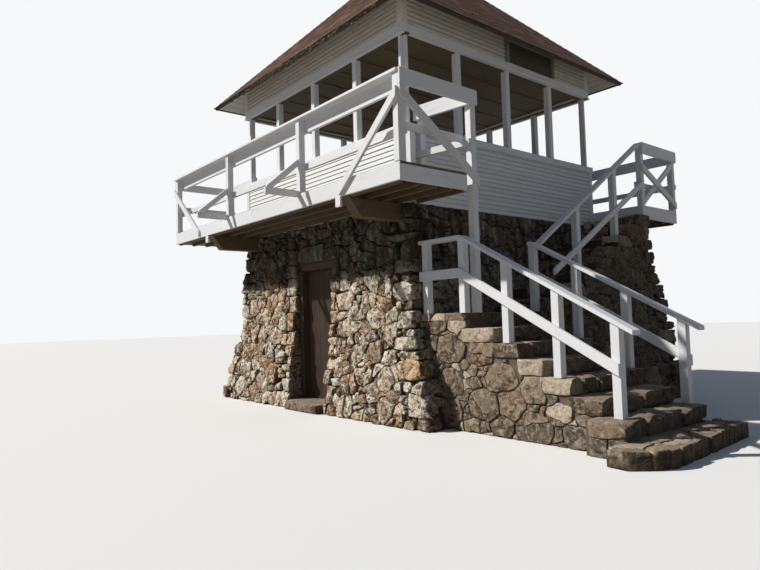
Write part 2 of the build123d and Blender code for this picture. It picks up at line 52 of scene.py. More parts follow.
# Cab
cab_half = 2.1335
cab_inner = 2.0135
floor_level = 3.016
sill_level = 3.8
wall_top = 3.7
head_level = 4.984
ceiling_level = 5.034
head_top = 5.214
trim_top = 5.004
band_top = 5.118
post_outer = 2.1085
post_inner = 2.0185
post_size = 0.09
half_post = 0.045
trim_outer = 2.1585
board_outer = 2.1455
bay = 1.06675
siding_end = cab_half - 0.09
doorway_edge = -1.11175
frieze_top = 5.585

# Roof
roof_half = 2.5665
roof_slope = 1.02
eave_level = 5.233

# Stone base
stone_top = 2.78
room_half = 1.6835
flare_level = 1.2
door_half = 0.5
door_head = 2.21
frame_front = -2.1135
frame_back = -1.9635
base_floor_thick = 0.13
threshold_front = -2.5035

# Base door
leaf_half = 0.384
hinge_x = -0.387
hinge_y = -1.9522

# Stairs
riser = 0.17
upper_riser = 0.184
landing_level = 1.36
tread = 0.315
first_tread = 0.418
landing_edge = 2.975
stair_south = -2.055
stair_north = -0.6
upper_tread = 0.34169
stair_mass_top = 3.063
stair_mass_base = 3.44
mass_inner = 2.1

# Balcony and platform
board_thick = 0.038
joist = 0.045
beam_places = (-1.85, 1.95)
beam_half = 0.08
beam_bottom = 2.56
deck_bottom = 2.984
fascia_bottom = 2.806
rail_top = 4.031
board_bottom = 3.85
cap_bottom = 3.993
mid_rail = 3.326
mid_height = 0.088
deck_south = -2.9835
deck_north = -1.9335
deck_west = -3.3355
deck_east = 2.9645
balcony_posts = (deck_west + half_post, -1.19, 0.93, deck_east - half_post)
tall_post_y = -1.8295
platform_west = 1.08575
platform_east = 3.013
platform_north = 3.2865
platform_beams = (platform_west + 0.16, (platform_west + platform_east) / 2)

# Joints and skins
joint = 0.006
core_inset = 0.055
flush_inset = 0.032
smooth_inset = 0.016
corner_inset = 0.1
lap = 0.064
side_names = ("south", "east", "north", "west")


# Meshes

class Pile:
    """Many small closed solids that become one mesh, each with its own tone and grain coordinates."""

    def __init__(self):
        self.points = []
        self.faces = []
        self.tones = []
        self.grains = []
        self.edges = []

    def add(self, points, faces, tone, grains, edges=None):
        self.edges.extend(edges or [0.5] * len(points))
        start = len(self.points)
        self.points.extend(points)
        self.faces.extend([[start + i for i in face] for face in faces])
        self.tones.extend([tone] * len(points))
        self.grains.extend(grains)

    def finish(self, name, material, slot, nodes=(), body="tower", smooth=False):
        mesh = bpy.data.meshes.new(name)
        mesh.from_pydata([tuple(p) for p in self.points], [], self.faces)
        mesh.attributes.new("tone", "FLOAT", "POINT").data.foreach_set("value", self.tones)
        mesh.attributes.new("edge", "FLOAT", "POINT").data.foreach_set("value", self.edges)
        grain = mesh.attributes.new("grain", "FLOAT_VECTOR", "POINT")
        grain.data.foreach_set("vector", np.ravel(self.grains))
        mesh.materials.append(material)
        mesh.polygons.foreach_set("use_smooth", [smooth] * len(mesh.polygons))
        obj = bpy.data.objects.new(name, mesh)
        bpy.context.scene.collection.objects.link(obj)
        if nodes:
            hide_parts(*nodes)
        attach(obj, body)
        return obj


def far_shift():
    """A random move of the grain coordinates, so that no two pieces look the same."""
    return [rng.uniform(0, 40) for _ in range(3)]


def tube_faces(count, rings):
    """Faces of a closed tube: both ends, and the quads between rings of as many points each."""
    last = count * (rings - 1)
    faces = [list(range(count - 1, -1, -1)), list(range(last, last + count))]
    for start in range(0, last, count):
        for i in range(count):
            after = (i + 1) % count
            faces.append([start + i, start + after, start + count + after, start + count + i])
    return faces


def timber(pile, near, far, chamfer=0.004, tone=None, bow=0.0008, lapped=False):
    """A chamfered stick between two end outlines of four corners each, given in the same order."""
    near = np.array(near, float)
    far = np.array(far, float)
    axis = far.mean(0) - near.mean(0)
    length = np.linalg.norm(axis)
    axis = axis / length
    if np.dot(np.cross(near[1] - near[0], near[2] - near[1]), axis) < 0:
        near = near[::-1]
        far = far[::-1]
    across = near[1] - near[0]
    across = across / np.linalg.norm(across)
    up = np.cross(axis, across)
    swing = rng.uniform(0, 2 * math.pi)
    lean = (across * math.cos(swing) + up * math.sin(swing)) * bow * length * rng.random()
    edge = chamfer / length
    inner = max(1, int(length / 0.5))
    stations = [0.0, edge] + [i / inner for i in range(1, inner)] + [1 - edge, 1.0]
    points = []
    for place, t in enumerate(stations):
        quad = near + (far - near) * t + lean * math.sin(math.pi * t)
        ring = []
        for i in range(4):
            for other in (quad[i - 1], quad[(i + 1) % 4]):
                side = other - quad[i]
                size = np.linalg.norm(side)
                ring.append(quad[i] + side * min(chamfer / size, 0.35))
        if place in (0, len(stations) - 1):
            middle = quad.mean(0)
            ring = [p + (middle - p) * min(0.4, chamfer / np.linalg.norm(middle - p)) for p in ring]
        points.extend(ring)
    shift = np.array(far_shift())
    basis = np.array([axis, across, up])
    offsets = (np.array(points) - near[0]) @ basis.T
    edges = (offsets[:, 1] / np.linalg.norm(near[1] - near[0])).tolist() if lapped else None
    tone = rng.random() if tone is None else tone
    pile.add(points, tube_faces(8, len(stations)), tone, (offsets + shift).tolist(), edges)


def square(a0, a1, b0, b1):
    """The four corners of a flat outline, in turn."""
    return [(a0, b0), (a1, b0), (a1, b1), (a0, b1)]


def stick(pile, x0, x1, y0, y1, z0, z1, **style):
    """A straight stick, with its grain along its longest side."""
    spans = (x1 - x0, y1 - y0, z1 - z0)
    if spans[0] >= max(spans[1:]):
        ends = [[(x, y, z) for y, z in square(y0, y1, z0, z1)] for x in (x0, x1)]
    elif spans[1] >= spans[2]:
        ends = [[(x, y, z) for x, z in square(x0, x1, z0, z1)] for y in (y0, y1)]
    else:
        ends = [[(x, y, z) for x, y in square(x0, x1, y0, y1)] for z in (z0, z1)]
    timber(pile, *ends, **style)


def post(pile, x, y, z0, z1):
    """A square upright post."""
    stick(pile, x, x + post_size, y, y + post_size, z0, z1)


def board_x(pile, x0, x1, y, z0, z1, **style):
    """A board on edge that runs along X."""
    stick(pile, x0, x1, y, y + board_thick, z0, z1, **style)


def board_y(pile, x, y0, y1, z0, z1, **style):
    """A board on edge that runs along Y."""
    stick(pile, x, x + board_thick, y0, y1, z0, z1, **style)


def rail_x(pile, x0, z0, x1, z1, height, y0, thick=board_thick):
    """A plumb-cut board from one bottom point to another, in a plane of constant y."""
    outline = square(y0, y0 + thick, 0.0, height)
    timber(pile, *[[(x, y, z + up) for y, up in outline] for x, z in ((x0, z0), (x1, z1))])


def rail_y(pile, y0, z0, y1, z1, height, x0, thick=board_thick):
    """A plumb-cut board from one bottom point to another, in a plane of constant x."""
    outline = square(x0, x0 + thick, 0.0, height)
    timber(pile, *[[(x, y, z + up) for x, up in outline] for y, z in ((y0, z0), (y1, z1))])


def compass(side):
    """A side's own place function: s along the wall, out from the tower's middle, z up."""
    turn = ((1, 0), (0, 1), (-1, 0), (0, -1))[side]

    def place(s, out, z):
        return (s * turn[0] + out * turn[1], s * turn[1] - out * turn[0], z)
    return place


# Rubble

def clip(polygon, nx, ny, limit):
    """The part of a convex polygon where nx * x + ny * y is at most the limit."""
    kept = []
    for i, a in enumerate(polygon):
        b = polygon[(i + 1) % len(polygon)]
        da = a[0] * nx + a[1] * ny - limit
        db = b[0] * nx + b[1] * ny - limit
        if da <= 0:
            kept.append(a)
        if da * db < 0:
            t = da / (da - db)
            kept.append((a[0] + (b[0] - a[0]) * t, a[1] + (b[1] - a[1]) * t))
    return kept


def area(polygon):
    """Area of a polygon with its corners anticlockwise."""
    return 0.5 * sum(a[0] * b[1] - b[0] * a[1] for a, b in zip(polygon, polygon[1:] + polygon[:1]))


def keep_clear(polygon, box):
    """The largest part of a cell that one side of a box leaves free."""
    x0, x1, z0, z1 = box
    if len(polygon) < 3:
        return polygon
    xs = [p[0] for p in polygon]
    zs = [p[1] for p in polygon]
    if max(xs) <= x0 or min(xs) >= x1 or max(zs) <= z0 or min(zs) >= z1:
        return polygon
    parts = [clip(polygon, 1, 0, x0), clip(polygon, -1, 0, -x1),
             clip(polygon, 0, 1, z0), clip(polygon, 0, -1, -z1)]
    return max(parts, key=lambda part: area(part) if len(part) > 2 else 0.0)


def parts_clear(polygon, box):
    """All the convex parts of a cell that a box leaves free."""
    x0, x1, z0, z1 = box
    whole = keep_clear(polygon, box)
    if len(polygon) < 3 or (len(whole) > 2 and area(whole) > 0.8 * area(polygon)):
        return [whole]
    middle = clip(polygon, -1, 0, -x0)
    middle = clip(middle, 1, 0, x1) if len(middle) > 2 else []
    parts = [clip(polygon, 1, 0, x0), clip(polygon, -1, 0, -x1)]
    if len(middle) > 2:
        parts += [clip(middle, 0, 1, z0), clip(middle, 0, -1, -z1)]
    return [part for part in parts if len(part) > 2 and area(part) > 0.0016]


def rubble_cells(x0, x1, z0, z1, small, large, boxes=(), flat=1.25, tries=2600, broken=0.62, full=False):
    """A wall's stones as cells of mixed size, shrunk by the joints and kept clear of the boxes."""
    sites = np.zeros((0, 3))
    for count in range(tries):
        radius = small + (large - small) * (1 - count / tries) ** 2.4
        x = rng.uniform(x0 + 0.4 * radius, x1 - 0.4 * radius)
        z = rng.uniform(z0 + 0.4 * radius, z1 - 0.4 * radius)
        if any(b[0] < x < b[1] and b[2] < z < b[3] for b in boxes):
            continue
        if len(sites):
            gap = np.hypot(sites[:, 0] - x, (sites[:, 1] - z) * flat)
            if (gap < 0.86 * (sites[:, 2] + radius)).any():
                continue
        sites = np.vstack([sites, (x, z, radius)])
    flat_sites = sites * (1, flat, 1)
    found = []
    for i, (x, z, radius) in enumerate(flat_sites):
        cell = square(x0, x1, z0 * flat, z1 * flat)
        gaps = np.hypot(flat_sites[:, 0] - x, flat_sites[:, 1] - z)
        for j in np.argsort(gaps)[1:70]:
            ox, oz, other = flat_sites[j]
            limit = (ox * ox + oz * oz - x * x - z * z - other * other + radius * radius) / 2
            cell = clip(cell, ox - x, oz - z, limit)
            if len(cell) < 3:
                break
        if len(cell) < 3:
            continue
        cells = [[(p[0], p[1] / flat) for p in cell]]
        for box in boxes:
            if full:
                cells = [part for cell in cells for part in parts_clear(cell, box)]
            else:
                cells = [keep_clear(cell, box) for cell in cells]
        for whole in cells:
            if len(whole) > 2:
                cell = shrink(whole, joint * rng.uniform(0.6, 1.5))
                if len(cell) > 2 and area(cell) > 0.0016:
                    found.extend(split(cell, broken))
    return found


def sides_of(polygon):
    """Each side of a polygon: the unit normal that points out of it, and how far along that the side lies."""
    found = []
    for a, b in zip(polygon, polygon[1:] + polygon[:1]):
        nx = b[1] - a[1]
        nz = a[0] - b[0]
        size = math.hypot(nx, nz)
        if size > 1e-6:
            found.append((nx / size, nz / size, (a[0] * nx + a[1] * nz) / size))
    return found


def shrink(polygon, edge):
    """A convex polygon with each side moved in."""
    kept = polygon
    for nx, nz, limit in sides_of(polygon):
        kept = clip(kept, nx, nz, limit - edge)
    return kept


def split(cell, broken):
    """A large cell broken in two along a leaning line, or any cell left whole."""
    if area(cell) < 0.011 or rng.random() > broken:
        return [cell]
    lean = rng.gauss(0.1, 0.4) if rng.random() < 0.6 else rng.gauss(1.5, 0.35)
    nx = math.cos(lean)
    nz = math.sin(lean)
    middle = sum(nx * p[0] + nz * p[1] for p in cell) / len(cell)
    middle += rng.uniform(-0.2, 0.2) * math.sqrt(area(cell))
    gap = joint * rng.uniform(0.5, 1.1)
    halves = [clip(cell, nx, nz, middle - gap), clip(cell, -nx, -nz, -middle - gap)]
    return [half for half in halves if len(half) > 2 and area(half) > 0.0012]


def fillers(cells, boxes, bounds, least=0.015, tries=5000):
    """Small stones for the gaps that the cells and the boxes leave open."""
    x0, x1, z0, z1 = bounds
    shapes = list(cells) + [square(*box) for box in boxes]
    starts = []
    sides = []
    for shape in shapes:
        starts.append(len(sides))
        sides.extend(sides_of(shape))
    sides = np.array(sides)
    spots = []
    for _ in range(tries):
        x = rng.uniform(x0, x1)
        z = rng.uniform(z0, z1)
        room = np.maximum.reduceat(sides[:, 0] * x + sides[:, 1] * z - sides[:, 2], starts).min()
        if room > least:
            spots.append((room, x, z))
    taken = []
    for room, x, z in sorted(spots, reverse=True):
        room = min([room, 0.09] + [math.hypot(x - tx, z - tz) - size for size, tx, tz in taken])
        if room > least:
            taken.append((room, x, z))
    found = []
    for room, x, z in taken:
        count = rng.choice((5, 6, 7))
        turn = rng.uniform(0, 2 * math.pi)
        angles = [turn + 2 * math.pi * i / count for i in range(count)]
        found.append([(x + room * math.cos(angle) * rng.uniform(0.92, 1.14),
                       max(0.0, z + room * math.sin(angle) * rng.uniform(0.92, 1.14))) for angle in angles])
    return found


def soften(outline, spacing=0.03):
    """An outline with its corners cut and its sides divided."""
    points = []
    for a, b in zip(outline, outline[1:] + outline[:1]):
        size = max(math.hypot(b[0] - a[0], b[1] - a[1]), 1e-6)
        cut = min(rng.uniform(0.004, 0.014) / size, 0.3)
        parts = max(1, min(7, round(size * (1 - 2 * cut) / spacing)))
        for i in range(parts + 1):
            t = cut + (1 - 2 * cut) * i / parts
            points.append((a[0] + (b[0] - a[0]) * t, a[1] + (b[1] - a[1]) * t))
    return points


def bend(point, amount):
    """A point of a wall moved by one slow field, so that joints run in curves and stay even."""
    x, z = point
    return (x + rough((x, z, 0.5), 0.13, amount), z + rough((z, x, 1.3), 0.13, amount))


def rough(point, scale, amount):
    """Even lumps of a given size at a point."""
    return noise.noise(Vector(point) / scale) * amount


def split_facets(height, rugged, reach):
    """The slopes and levels of the few flat faces that a stone was split along."""
    facets = []
    count = rng.choice((3, 4, 5))
    start = rng.uniform(0, 2 * math.pi)
    for i in range(count):
        swing = start + 2 * math.pi * (i + rng.uniform(-0.3, 0.3)) / count
        slope = rng.uniform(0.05, 1.0) * (height + 0.02) * rugged / (0.5 * reach)
        facets.append((math.cos(swing) * slope, math.sin(swing) * slope, height * rng.uniform(0.95, 1.35)))
    return facets


def face_stone(pile, cell, place, proud=0.026, depth=0.085, rugged=1.0, tone=None, curve=0.025):
    """One stone of a wall: a cell with a split, faceted face. place takes x, z and height."""
    outline = [bend(p, curve) for p in soften(cell)]
    cx = sum(p[0] for p in outline) / len(outline)
    cz = sum(p[1] for p in outline) / len(outline)
    reach = math.sqrt(max(area(cell), 1e-4))
    height = proud * rng.uniform(0.15, 1.6) * min(1.3, 0.6 + 1.6 * reach)
    facets = split_facets(height, rugged, reach)
    shift = far_shift()
    rings = ((1.0, -depth), (1.0, -0.3 * depth), (0.975, 0.5 * height), (0.91, 0.92 * height), (0.77, height),
             (0.6, height), (0.4, height), (0.2, height))
    points = []
    flat_points = [(cx + (x - cx) * f, cz + (z - cz) * f, h) for f, h in rings for x, z in outline]
    flat_points.append((cx, cz, height))
    for number, (x, z, h) in enumerate(flat_points):
        seed = (x + shift[0], z + shift[1], shift[2])
        turned = (seed[1], seed[0], seed[2])
        if number >= len(outline):
            x += (rough(seed, 0.06, 0.009) + rough(seed, 0.02, 0.004)) * rugged
            z += (rough(turned, 0.06, 0.009) + rough(turned, 0.02, 0.004)) * rugged
        if h > -0.5 * depth:
            for a, b, level in facets:
                h = min(h, level - a * (x - cx) - b * (z - cz))
            h += (rough(seed, 0.11, 0.012) + (abs(noise.noise(Vector(seed) / 0.055)) - 0.25) * 0.022
                  + rough(seed, 0.022, 0.007) + rough(seed, 0.011, 0.003)) * rugged
            h = max(h, -0.8 * depth)
        points.append(place(x, z, h))
    count = len(outline)
    base, _, *walls = tube_faces(count, len(rings))
    last = len(points) - 1
    fan = [[last - count + i, last - count + (i + 1) % count, last] for i in range(count)]
    grains = [(p[0] + shift[0], p[1] + shift[1], p[2] + shift[2]) for p in points]
    pile.add(points, [base, *walls, *fan], rng.random() if tone is None else tone, grains)


def chip_plane(corners):
    """A plane that takes off one corner of a block: its direction and how far out it lies."""
    aim = np.array([rng.uniform(-1, 1) for _ in range(3)])
    aim = aim / np.linalg.norm(aim)
    return aim, max(np.dot(corners, aim)) * rng.uniform(0.72, 0.92)


def block_faces(index, nx, ny, nz):
    """Quads over the six sides of a block, from the numbers of its surface points."""
    faces = []
    for i in range(nx):
        for j in range(ny):
            faces.append([index[i, j, 0], index[i, j + 1, 0], index[i + 1, j + 1, 0], index[i + 1, j, 0]])
            faces.append([index[i, j, nz], index[i + 1, j, nz], index[i + 1, j + 1, nz], index[i, j + 1, nz]])
    for i in range(nx):
        for k in range(nz):
            faces.append([index[i, 0, k], index[i + 1, 0, k], index[i + 1, 0, k + 1], index[i, 0, k + 1]])
            faces.append([index[i, ny, k], index[i, ny, k + 1], index[i + 1, ny, k + 1], index[i + 1, ny, k]])
    for j in range(ny):
        for k in range(nz):
            faces.append([index[0, j, k], index[0, j, k + 1], index[0, j + 1, k + 1], index[0, j + 1, k]])
            faces.append([index[nx, j, k], index[nx, j + 1, k], index[nx, j + 1, k + 1], index[nx, j, k + 1]])
    return faces


def rock(pile, corners, divisions=(3, 3, 3), edge=0.025, lumps=0.008, cuts=4, tone=None, skew=0.0):
    """A block between eight corners, ordered by x, y and z, with worn edges and chipped corners."""
    corners = np.array(corners, float).reshape(2, 2, 2, 3)
    if skew:
        corners = corners + np.array([rng.uniform(-skew, skew) for _ in range(24)]).reshape(2, 2, 2, 3)
    arms = [corners[spot] - corners[0, 0, 0] for spot in ((1, 0, 0), (0, 1, 0), (0, 0, 1))]
    spans = [np.linalg.norm(arm) for arm in arms]
    lines = []
    for span, parts in zip(spans, divisions):
        inset = min(edge / span, 0.3)
        middle = [inset + (1 - 2 * inset) * i / parts for i in range(parts + 1)]
        lines.append([0.0, inset * 0.3] + middle + [1 - inset * 0.3, 1.0])
    shift = far_shift()
    centre = corners.reshape(8, 3).mean(0)
    planes = [chip_plane(corners.reshape(8, 3) - centre) for _ in range(cuts)]
    index = {}
    points = []
    sizes = [len(line) - 1 for line in lines]
    for i in range(sizes[0] + 1):
        for j in range(sizes[1] + 1):
            for k in range(sizes[2] + 1):
                if 0 < i < sizes[0] and 0 < j < sizes[1] and 0 < k < sizes[2]:
                    continue
                flat = np.array([lines[0][i] * spans[0], lines[1][j] * spans[1], lines[2][k] * spans[2]])
                limits = np.array([min(edge, 0.3 * span) for span in spans])
                kept = np.clip(flat, limits, np.array(spans) - limits)
                off = flat - kept
                size = np.linalg.norm(off / limits)
                if size > 1e-9:
                    flat = kept + off / size * max(abs(off / limits))
                u, v, w = flat / np.array(spans)
                p = corners[0] * (1 - u) + corners[1] * u
                p = p[0] * (1 - v) + p[1] * v
                p = p[0] * (1 - w) + p[1] * w
                for aim, reach in planes:
                    over = np.dot(p - centre, aim) - reach
                    if over > 0:
                        p = p - aim * over
                seed = Vector(p) + Vector(shift)
                for scale, share in ((0.12, 1.0), (0.045, 0.7), (0.018, 0.3)):
                    p = p + np.array(noise.noise_vector(seed / scale)) * lumps * share
                index[i, j, k] = len(points)
                points.append((p[0], p[1], max(p[2], 0.0)))
    faces = block_faces(index, *sizes)
    if np.dot(np.cross(arms[0], arms[1]), arms[2]) < 0:
        faces = [face[::-1] for face in faces]
    grains = [(p[0] + shift[0], p[1] + shift[1], p[2] + shift[2]) for p in points]
    pile.add(points, faces, rng.random() if tone is None else tone, grains)


def box_corners(x0, x1, y0, y1, z0, z1):
    """The eight corners of a straight block, in a rock's order."""
    return [(x, y, z) for x in (x0, x1) for y in (y0, y1) for z in (z0, z1)]


def core_block(pile, corners, divisions, lumps):
    """A block of the mortar core behind the stones."""
    rock(pile, corners, divisions, edge=0.004, lumps=lumps, cuts=0)


def reach_x(z):
    """Half width of the stone base along X at a height."""
    if z < flare_level:
        return cab_half + 0.14 + 0.43 * (1 - z / flare_level)
    return cab_half + 0.14 * (stone_top - z) / (stone_top - flare_level)


def reach_y(z):
    """Half width of the stone base along Y at a height."""
    if z < flare_level:
        return cab_half + 0.10 + 0.19 * (1 - z / flare_level)
    return cab_half + 0.10 * (stone_top - z) / (stone_top - flare_level)


def courses(z0, z1, low, high):
    """Course levels from one height to another, of uneven height."""
    levels = [z0]
    while z1 - levels[-1] > 1.5 * high:
        levels.append(levels[-1] + rng.uniform(low, high))
    rest = max(1, round((z1 - levels[-1]) / (0.5 * (low + high))))
    start = levels[-1]
    levels.extend([start + (z1 - start) * (i + 1) / rest for i in range(rest)])
    return levels


# Materials

class Look:
    """A node material being put together."""

    def __init__(self, name):
        self.material = bpy.data.materials.new(name)
        self.material.use_nodes = True
        self.tree = self.material.node_tree
        self.shader = self.tree.nodes["Principled BSDF"]

    def node(self, kind, settings=None, **inputs):
        made = self.tree.nodes.new(kind)
        for key, value in (settings or {}).items():
            setattr(made, key, value)
        for key, value in inputs.items():
            self.feed(made.inputs[key.replace("_", " ")], value)
        return made

    def feed(self, socket, value):
        if isinstance(value, bpy.types.NodeSocket):
            self.tree.links.new(value, socket)
        else:
            socket.default_value = value

    def attribute(self, name, output="Fac"):
        return self.node("ShaderNodeAttribute", {"attribute_name": name}).outputs[output]

    def stretched(self, vector, stretch):
        return self.node("ShaderNodeMapping", None, Vector=vector, Scale=stretch).outputs["Vector"]

    def grain(self, stretch=(1, 1, 1)):
        return self.stretched(self.attribute("grain", "Vector"), stretch)

    def spot(self):
        return self.node("ShaderNodeTexCoord").outputs["Object"]

    def parts(self, vector):
        return self.node("ShaderNodeSeparateXYZ", None, Vector=vector).outputs

    def noise(self, vector, scale, detail=6.0, roughness=0.6, distortion=0.0):
        return self.node("ShaderNodeTexNoise", None, Vector=vector, Scale=scale, Detail=detail,
                         Roughness=roughness, Distortion=distortion).outputs["Fac"]

    def ramp(self, value, stops, interpolation="LINEAR"):
        made = self.node("ShaderNodeValToRGB", None, Fac=value)
        made.color_ramp.interpolation = interpolation
        elements = made.color_ramp.elements
        while len(elements) < len(stops):
            elements.new(0.5)
        for element, (position, colour) in zip(elements, stops):
            element.position = position
            element.color = (*colour, 1.0)
        return made.outputs["Color"]

    def level(self, value, low, high, start=0.0, end=1.0):
        return self.node("ShaderNodeMapRange", {"clamp": True}, Value=value, From_Min=low, From_Max=high,
                         To_Min=start, To_Max=end).outputs["Result"]

    def maths(self, operation, a, b):
        made = self.node("ShaderNodeMath", {"operation": operation})
        self.feed(made.inputs[0], a)
        self.feed(made.inputs[1], b)
        return made.outputs["Value"]

    def times(self, a, b):
        return self.maths("MULTIPLY", a, b)

    def mix(self, factor, a, b, blend="MIX"):
        made = self.node("ShaderNodeMix", {"data_type": "RGBA", "blend_type": blend})
        self.feed(made.inputs["Factor"], factor)
        for slot, value in (("A", a), ("B", b)):
            socket = [s for s in made.inputs if s.name == slot and s.type == "RGBA"][0]
            self.feed(socket, value if isinstance(value, bpy.types.NodeSocket) else (*value, 1.0))
        return [s for s in made.outputs if s.type == "RGBA"][0]

    def tint(self, colour, value, low, high, amount, other):
        """Turns to another colour, up to an amount, where a value goes from low to high."""
        return self.mix(self.level(value, low, high, 0.0, amount), colour, other)

    def speckle(self, factor, colour, value, stops):
        """Darkens a colour by a ramp over a value."""
        return self.mix(factor, colour, self.ramp(value, stops), "MULTIPLY")

    def finish(self, colour, height=None, strength=0.4, distance=0.01, roughness=0.7, specular=0.3):
        self.feed(self.shader.inputs["Base Color"], colour)
        self.feed(self.shader.inputs["Roughness"], roughness)
        self.shader.inputs["Specular IOR Level"].default_value = specular
        if height is not None:
            bump = self.node("ShaderNodeBump", None, Height=height, Strength=strength, Distance=distance)
            self.feed(self.shader.inputs["Normal"], bump.outputs["Normal"])
        return self.material


def soot_and_deck_shade_mask(look, spot, amount):
    """Black runs high on the walls, under the deck: partly weathering, partly painted shade of the deck."""
    drift = look.noise(spot, 1.4, 5.0, 0.6)
    high = look.level(look.maths("ADD", look.parts(spot)["Z"], look.times(drift, 0.5)), 2.02, 2.26)
    runs = look.noise(look.stretched(spot, (11.0, 11.0, 1.6)), 1.0, 7.0, 0.65)
    return look.times(look.times(high, look.level(runs, 0.38, 0.62, 1.0, 0.62)), amount)


def rubble_look(name, stones, stain, amount, pale, pale_amount, soot_and_shade=0.0, worn=0.0, pit_shade=0.92):
    """Split stone: a colour for each stone, dark weathering, rust, pale faces, pits darkened as painted shade
    in the hollows, painted shade on east faces, dark runs under the deck that are partly staining and partly
    painted shade, and a broken surface.
    """
    look = Look(name)
    grain = look.grain()
    tone = look.attribute("tone")
    base = look.ramp(tone, stones, "CONSTANT")
    broad = look.noise(grain, 5.5, 8.0, 0.66, 1.2)
    dark = look.mix(0.82, base, (0.062, 0.038, 0.02))
    weathered = look.times(look.level(broad, 0.49, 0.56), look.level(tone, 0.86, 0.9, 1.0, 0.35))
    colour = look.mix(weathered, base, dark)
    colour = look.tint(colour, look.noise(grain, 8.5, 6.0, 0.65, 1.0), 0.52, 0.62, amount, stain)
    colour = look.tint(colour, look.noise(grain, 12.0, 9.0, 0.72, 1.0), 0.52, 0.57, pale_amount, pale)
    pits = look.noise(grain, 24.0, 9.0, 0.76, 0.8)
    # Darkens to near black in the hollows of the bump: painted shade in the pits.
    colour = look.tint(colour, pits, 0.48, 0.42, pit_shade, (0.032, 0.021, 0.012))
    grit = look.noise(grain, 150.0, 5.0, 0.72)
    colour = look.speckle(0.3, colour, grit, [(0.3, (0.35, 0.33, 0.3)), (0.62, (1, 1, 1))])
    facing = look.parts(look.node("ShaderNodeNewGeometry").outputs["Normal"])
    if worn:
        colour = look.tint(colour, facing["Z"], 0.75, 0.95, worn, (0.33, 0.28, 0.22))
    # Faces turned east darken towards near black: painted shade on the shaded side.
    painted_shade_and_soot = look.level(facing["X"], 0.35, 0.85, 0.0, 0.6)
    # High under the deck the walls darken further: partly sooty staining, partly painted shade.
    if soot_and_shade:
        painted_shade_and_soot = look.maths("MAXIMUM", painted_shade_and_soot, soot_and_deck_shade_mask(look, look.spot(), soot_and_shade))
    colour = look.mix(painted_shade_and_soot, colour, (0.026, 0.025, 0.018))
    height = look.maths("ADD", pits, look.times(grit, 0.2))
    return look.finish(colour, height, 1.0, 0.02, look.level(broad, 0.3, 0.7, 0.95, 0.8), 0.15)


def mortar_look(name, dark, middle, light):
    """Sandy mortar in the joints."""
    look = Look(name)
    spot = look.spot()
    grit = look.noise(spot, 120.0, 6.0, 0.7)
    colour = look.ramp(look.noise(spot, 3.0, 6.0), [(0.3, dark), (0.6, middle), (0.8, light)])
    colour = look.speckle(0.4, colour, grit, [(0.3, (0.4, 0.4, 0.4)), (0.7, (1, 1, 1))])
    return look.finish(colour, grit, 0.8, 0.01, 0.95, 0.15)


def paint_look(name, light, worn, grime, lapped=0.0, lap_shade_from=0.6):
    """Old white paint: fine grain, worn streaks and small chips, with brown under the laps of siding that is
    partly staining, partly painted shade.
    """
    look = Look(name)
    fibres = look.noise(look.grain((2.2, 26.0, 26.0)), 5.0, 8.0, 0.65, 0.6)
    patches = look.noise(look.grain((1.2, 5.0, 5.0)), 3.0, 6.0, 0.6, 0.5)
    chips = look.noise(look.grain((8.0, 60.0, 60.0)), 3.0, 7.0, 0.75)
    colour = look.mix(look.attribute("tone"), light, tuple(0.93 * c for c in light))
    colour = look.tint(colour, fibres, 0.52, 0.72, 0.35, worn)
    colour = look.tint(colour, patches, 0.55, 0.8, grime, (0.40, 0.33, 0.25))
    bare = look.times(look.level(chips, 0.62, 0.66), look.level(patches, 0.5, 0.62))
    colour = look.mix(look.times(bare, 0.75), colour, (0.22, 0.17, 0.13))
    # Brown on each butt's underside and on each lap's upper part under the lap above: partly staining, partly
    # painted shade.
    if lapped:
        edge = look.attribute("edge")
        below = look.level(edge, 0.04, 0.02, 0.0, lapped)
        lap_dirt_and_shade = look.maths("MAXIMUM", below, look.level(edge, lap_shade_from, 0.97, 0.0, lapped))
        colour = look.mix(lap_dirt_and_shade, colour, (0.26, 0.21, 0.15))
    height = look.maths("SUBTRACT", look.times(fibres, 0.6), bare)
    return look.finish(colour, height, 0.35, 0.003, look.level(fibres, 0.3, 0.7, 0.5, 0.7), 0.35)


def bare_wood_look(name, dark, middle, light, bleach=0.1):
    """Unpainted boards: long grain, darker knots and a grey bloom."""
    look = Look(name)
    fibres = look.noise(look.grain((1.6, 22.0, 22.0)), 6.0, 9.0, 0.65, 1.2)
    broad = look.noise(look.grain((1.0, 4.0, 4.0)), 2.5, 5.0, 0.6, 0.6)
    colour = look.ramp(fibres, [(0.3, dark), (0.52, middle), (0.75, light)])
    colour = look.tint(colour, look.attribute("tone"), 0.0, 1.0, 0.5, dark)
    colour = look.tint(colour, broad, 0.5, 0.75, bleach, (0.30, 0.27, 0.24))
    return look.finish(colour, fibres, 0.5, 0.004, look.level(fibres, 0.3, 0.7, 0.65, 0.85), 0.25)


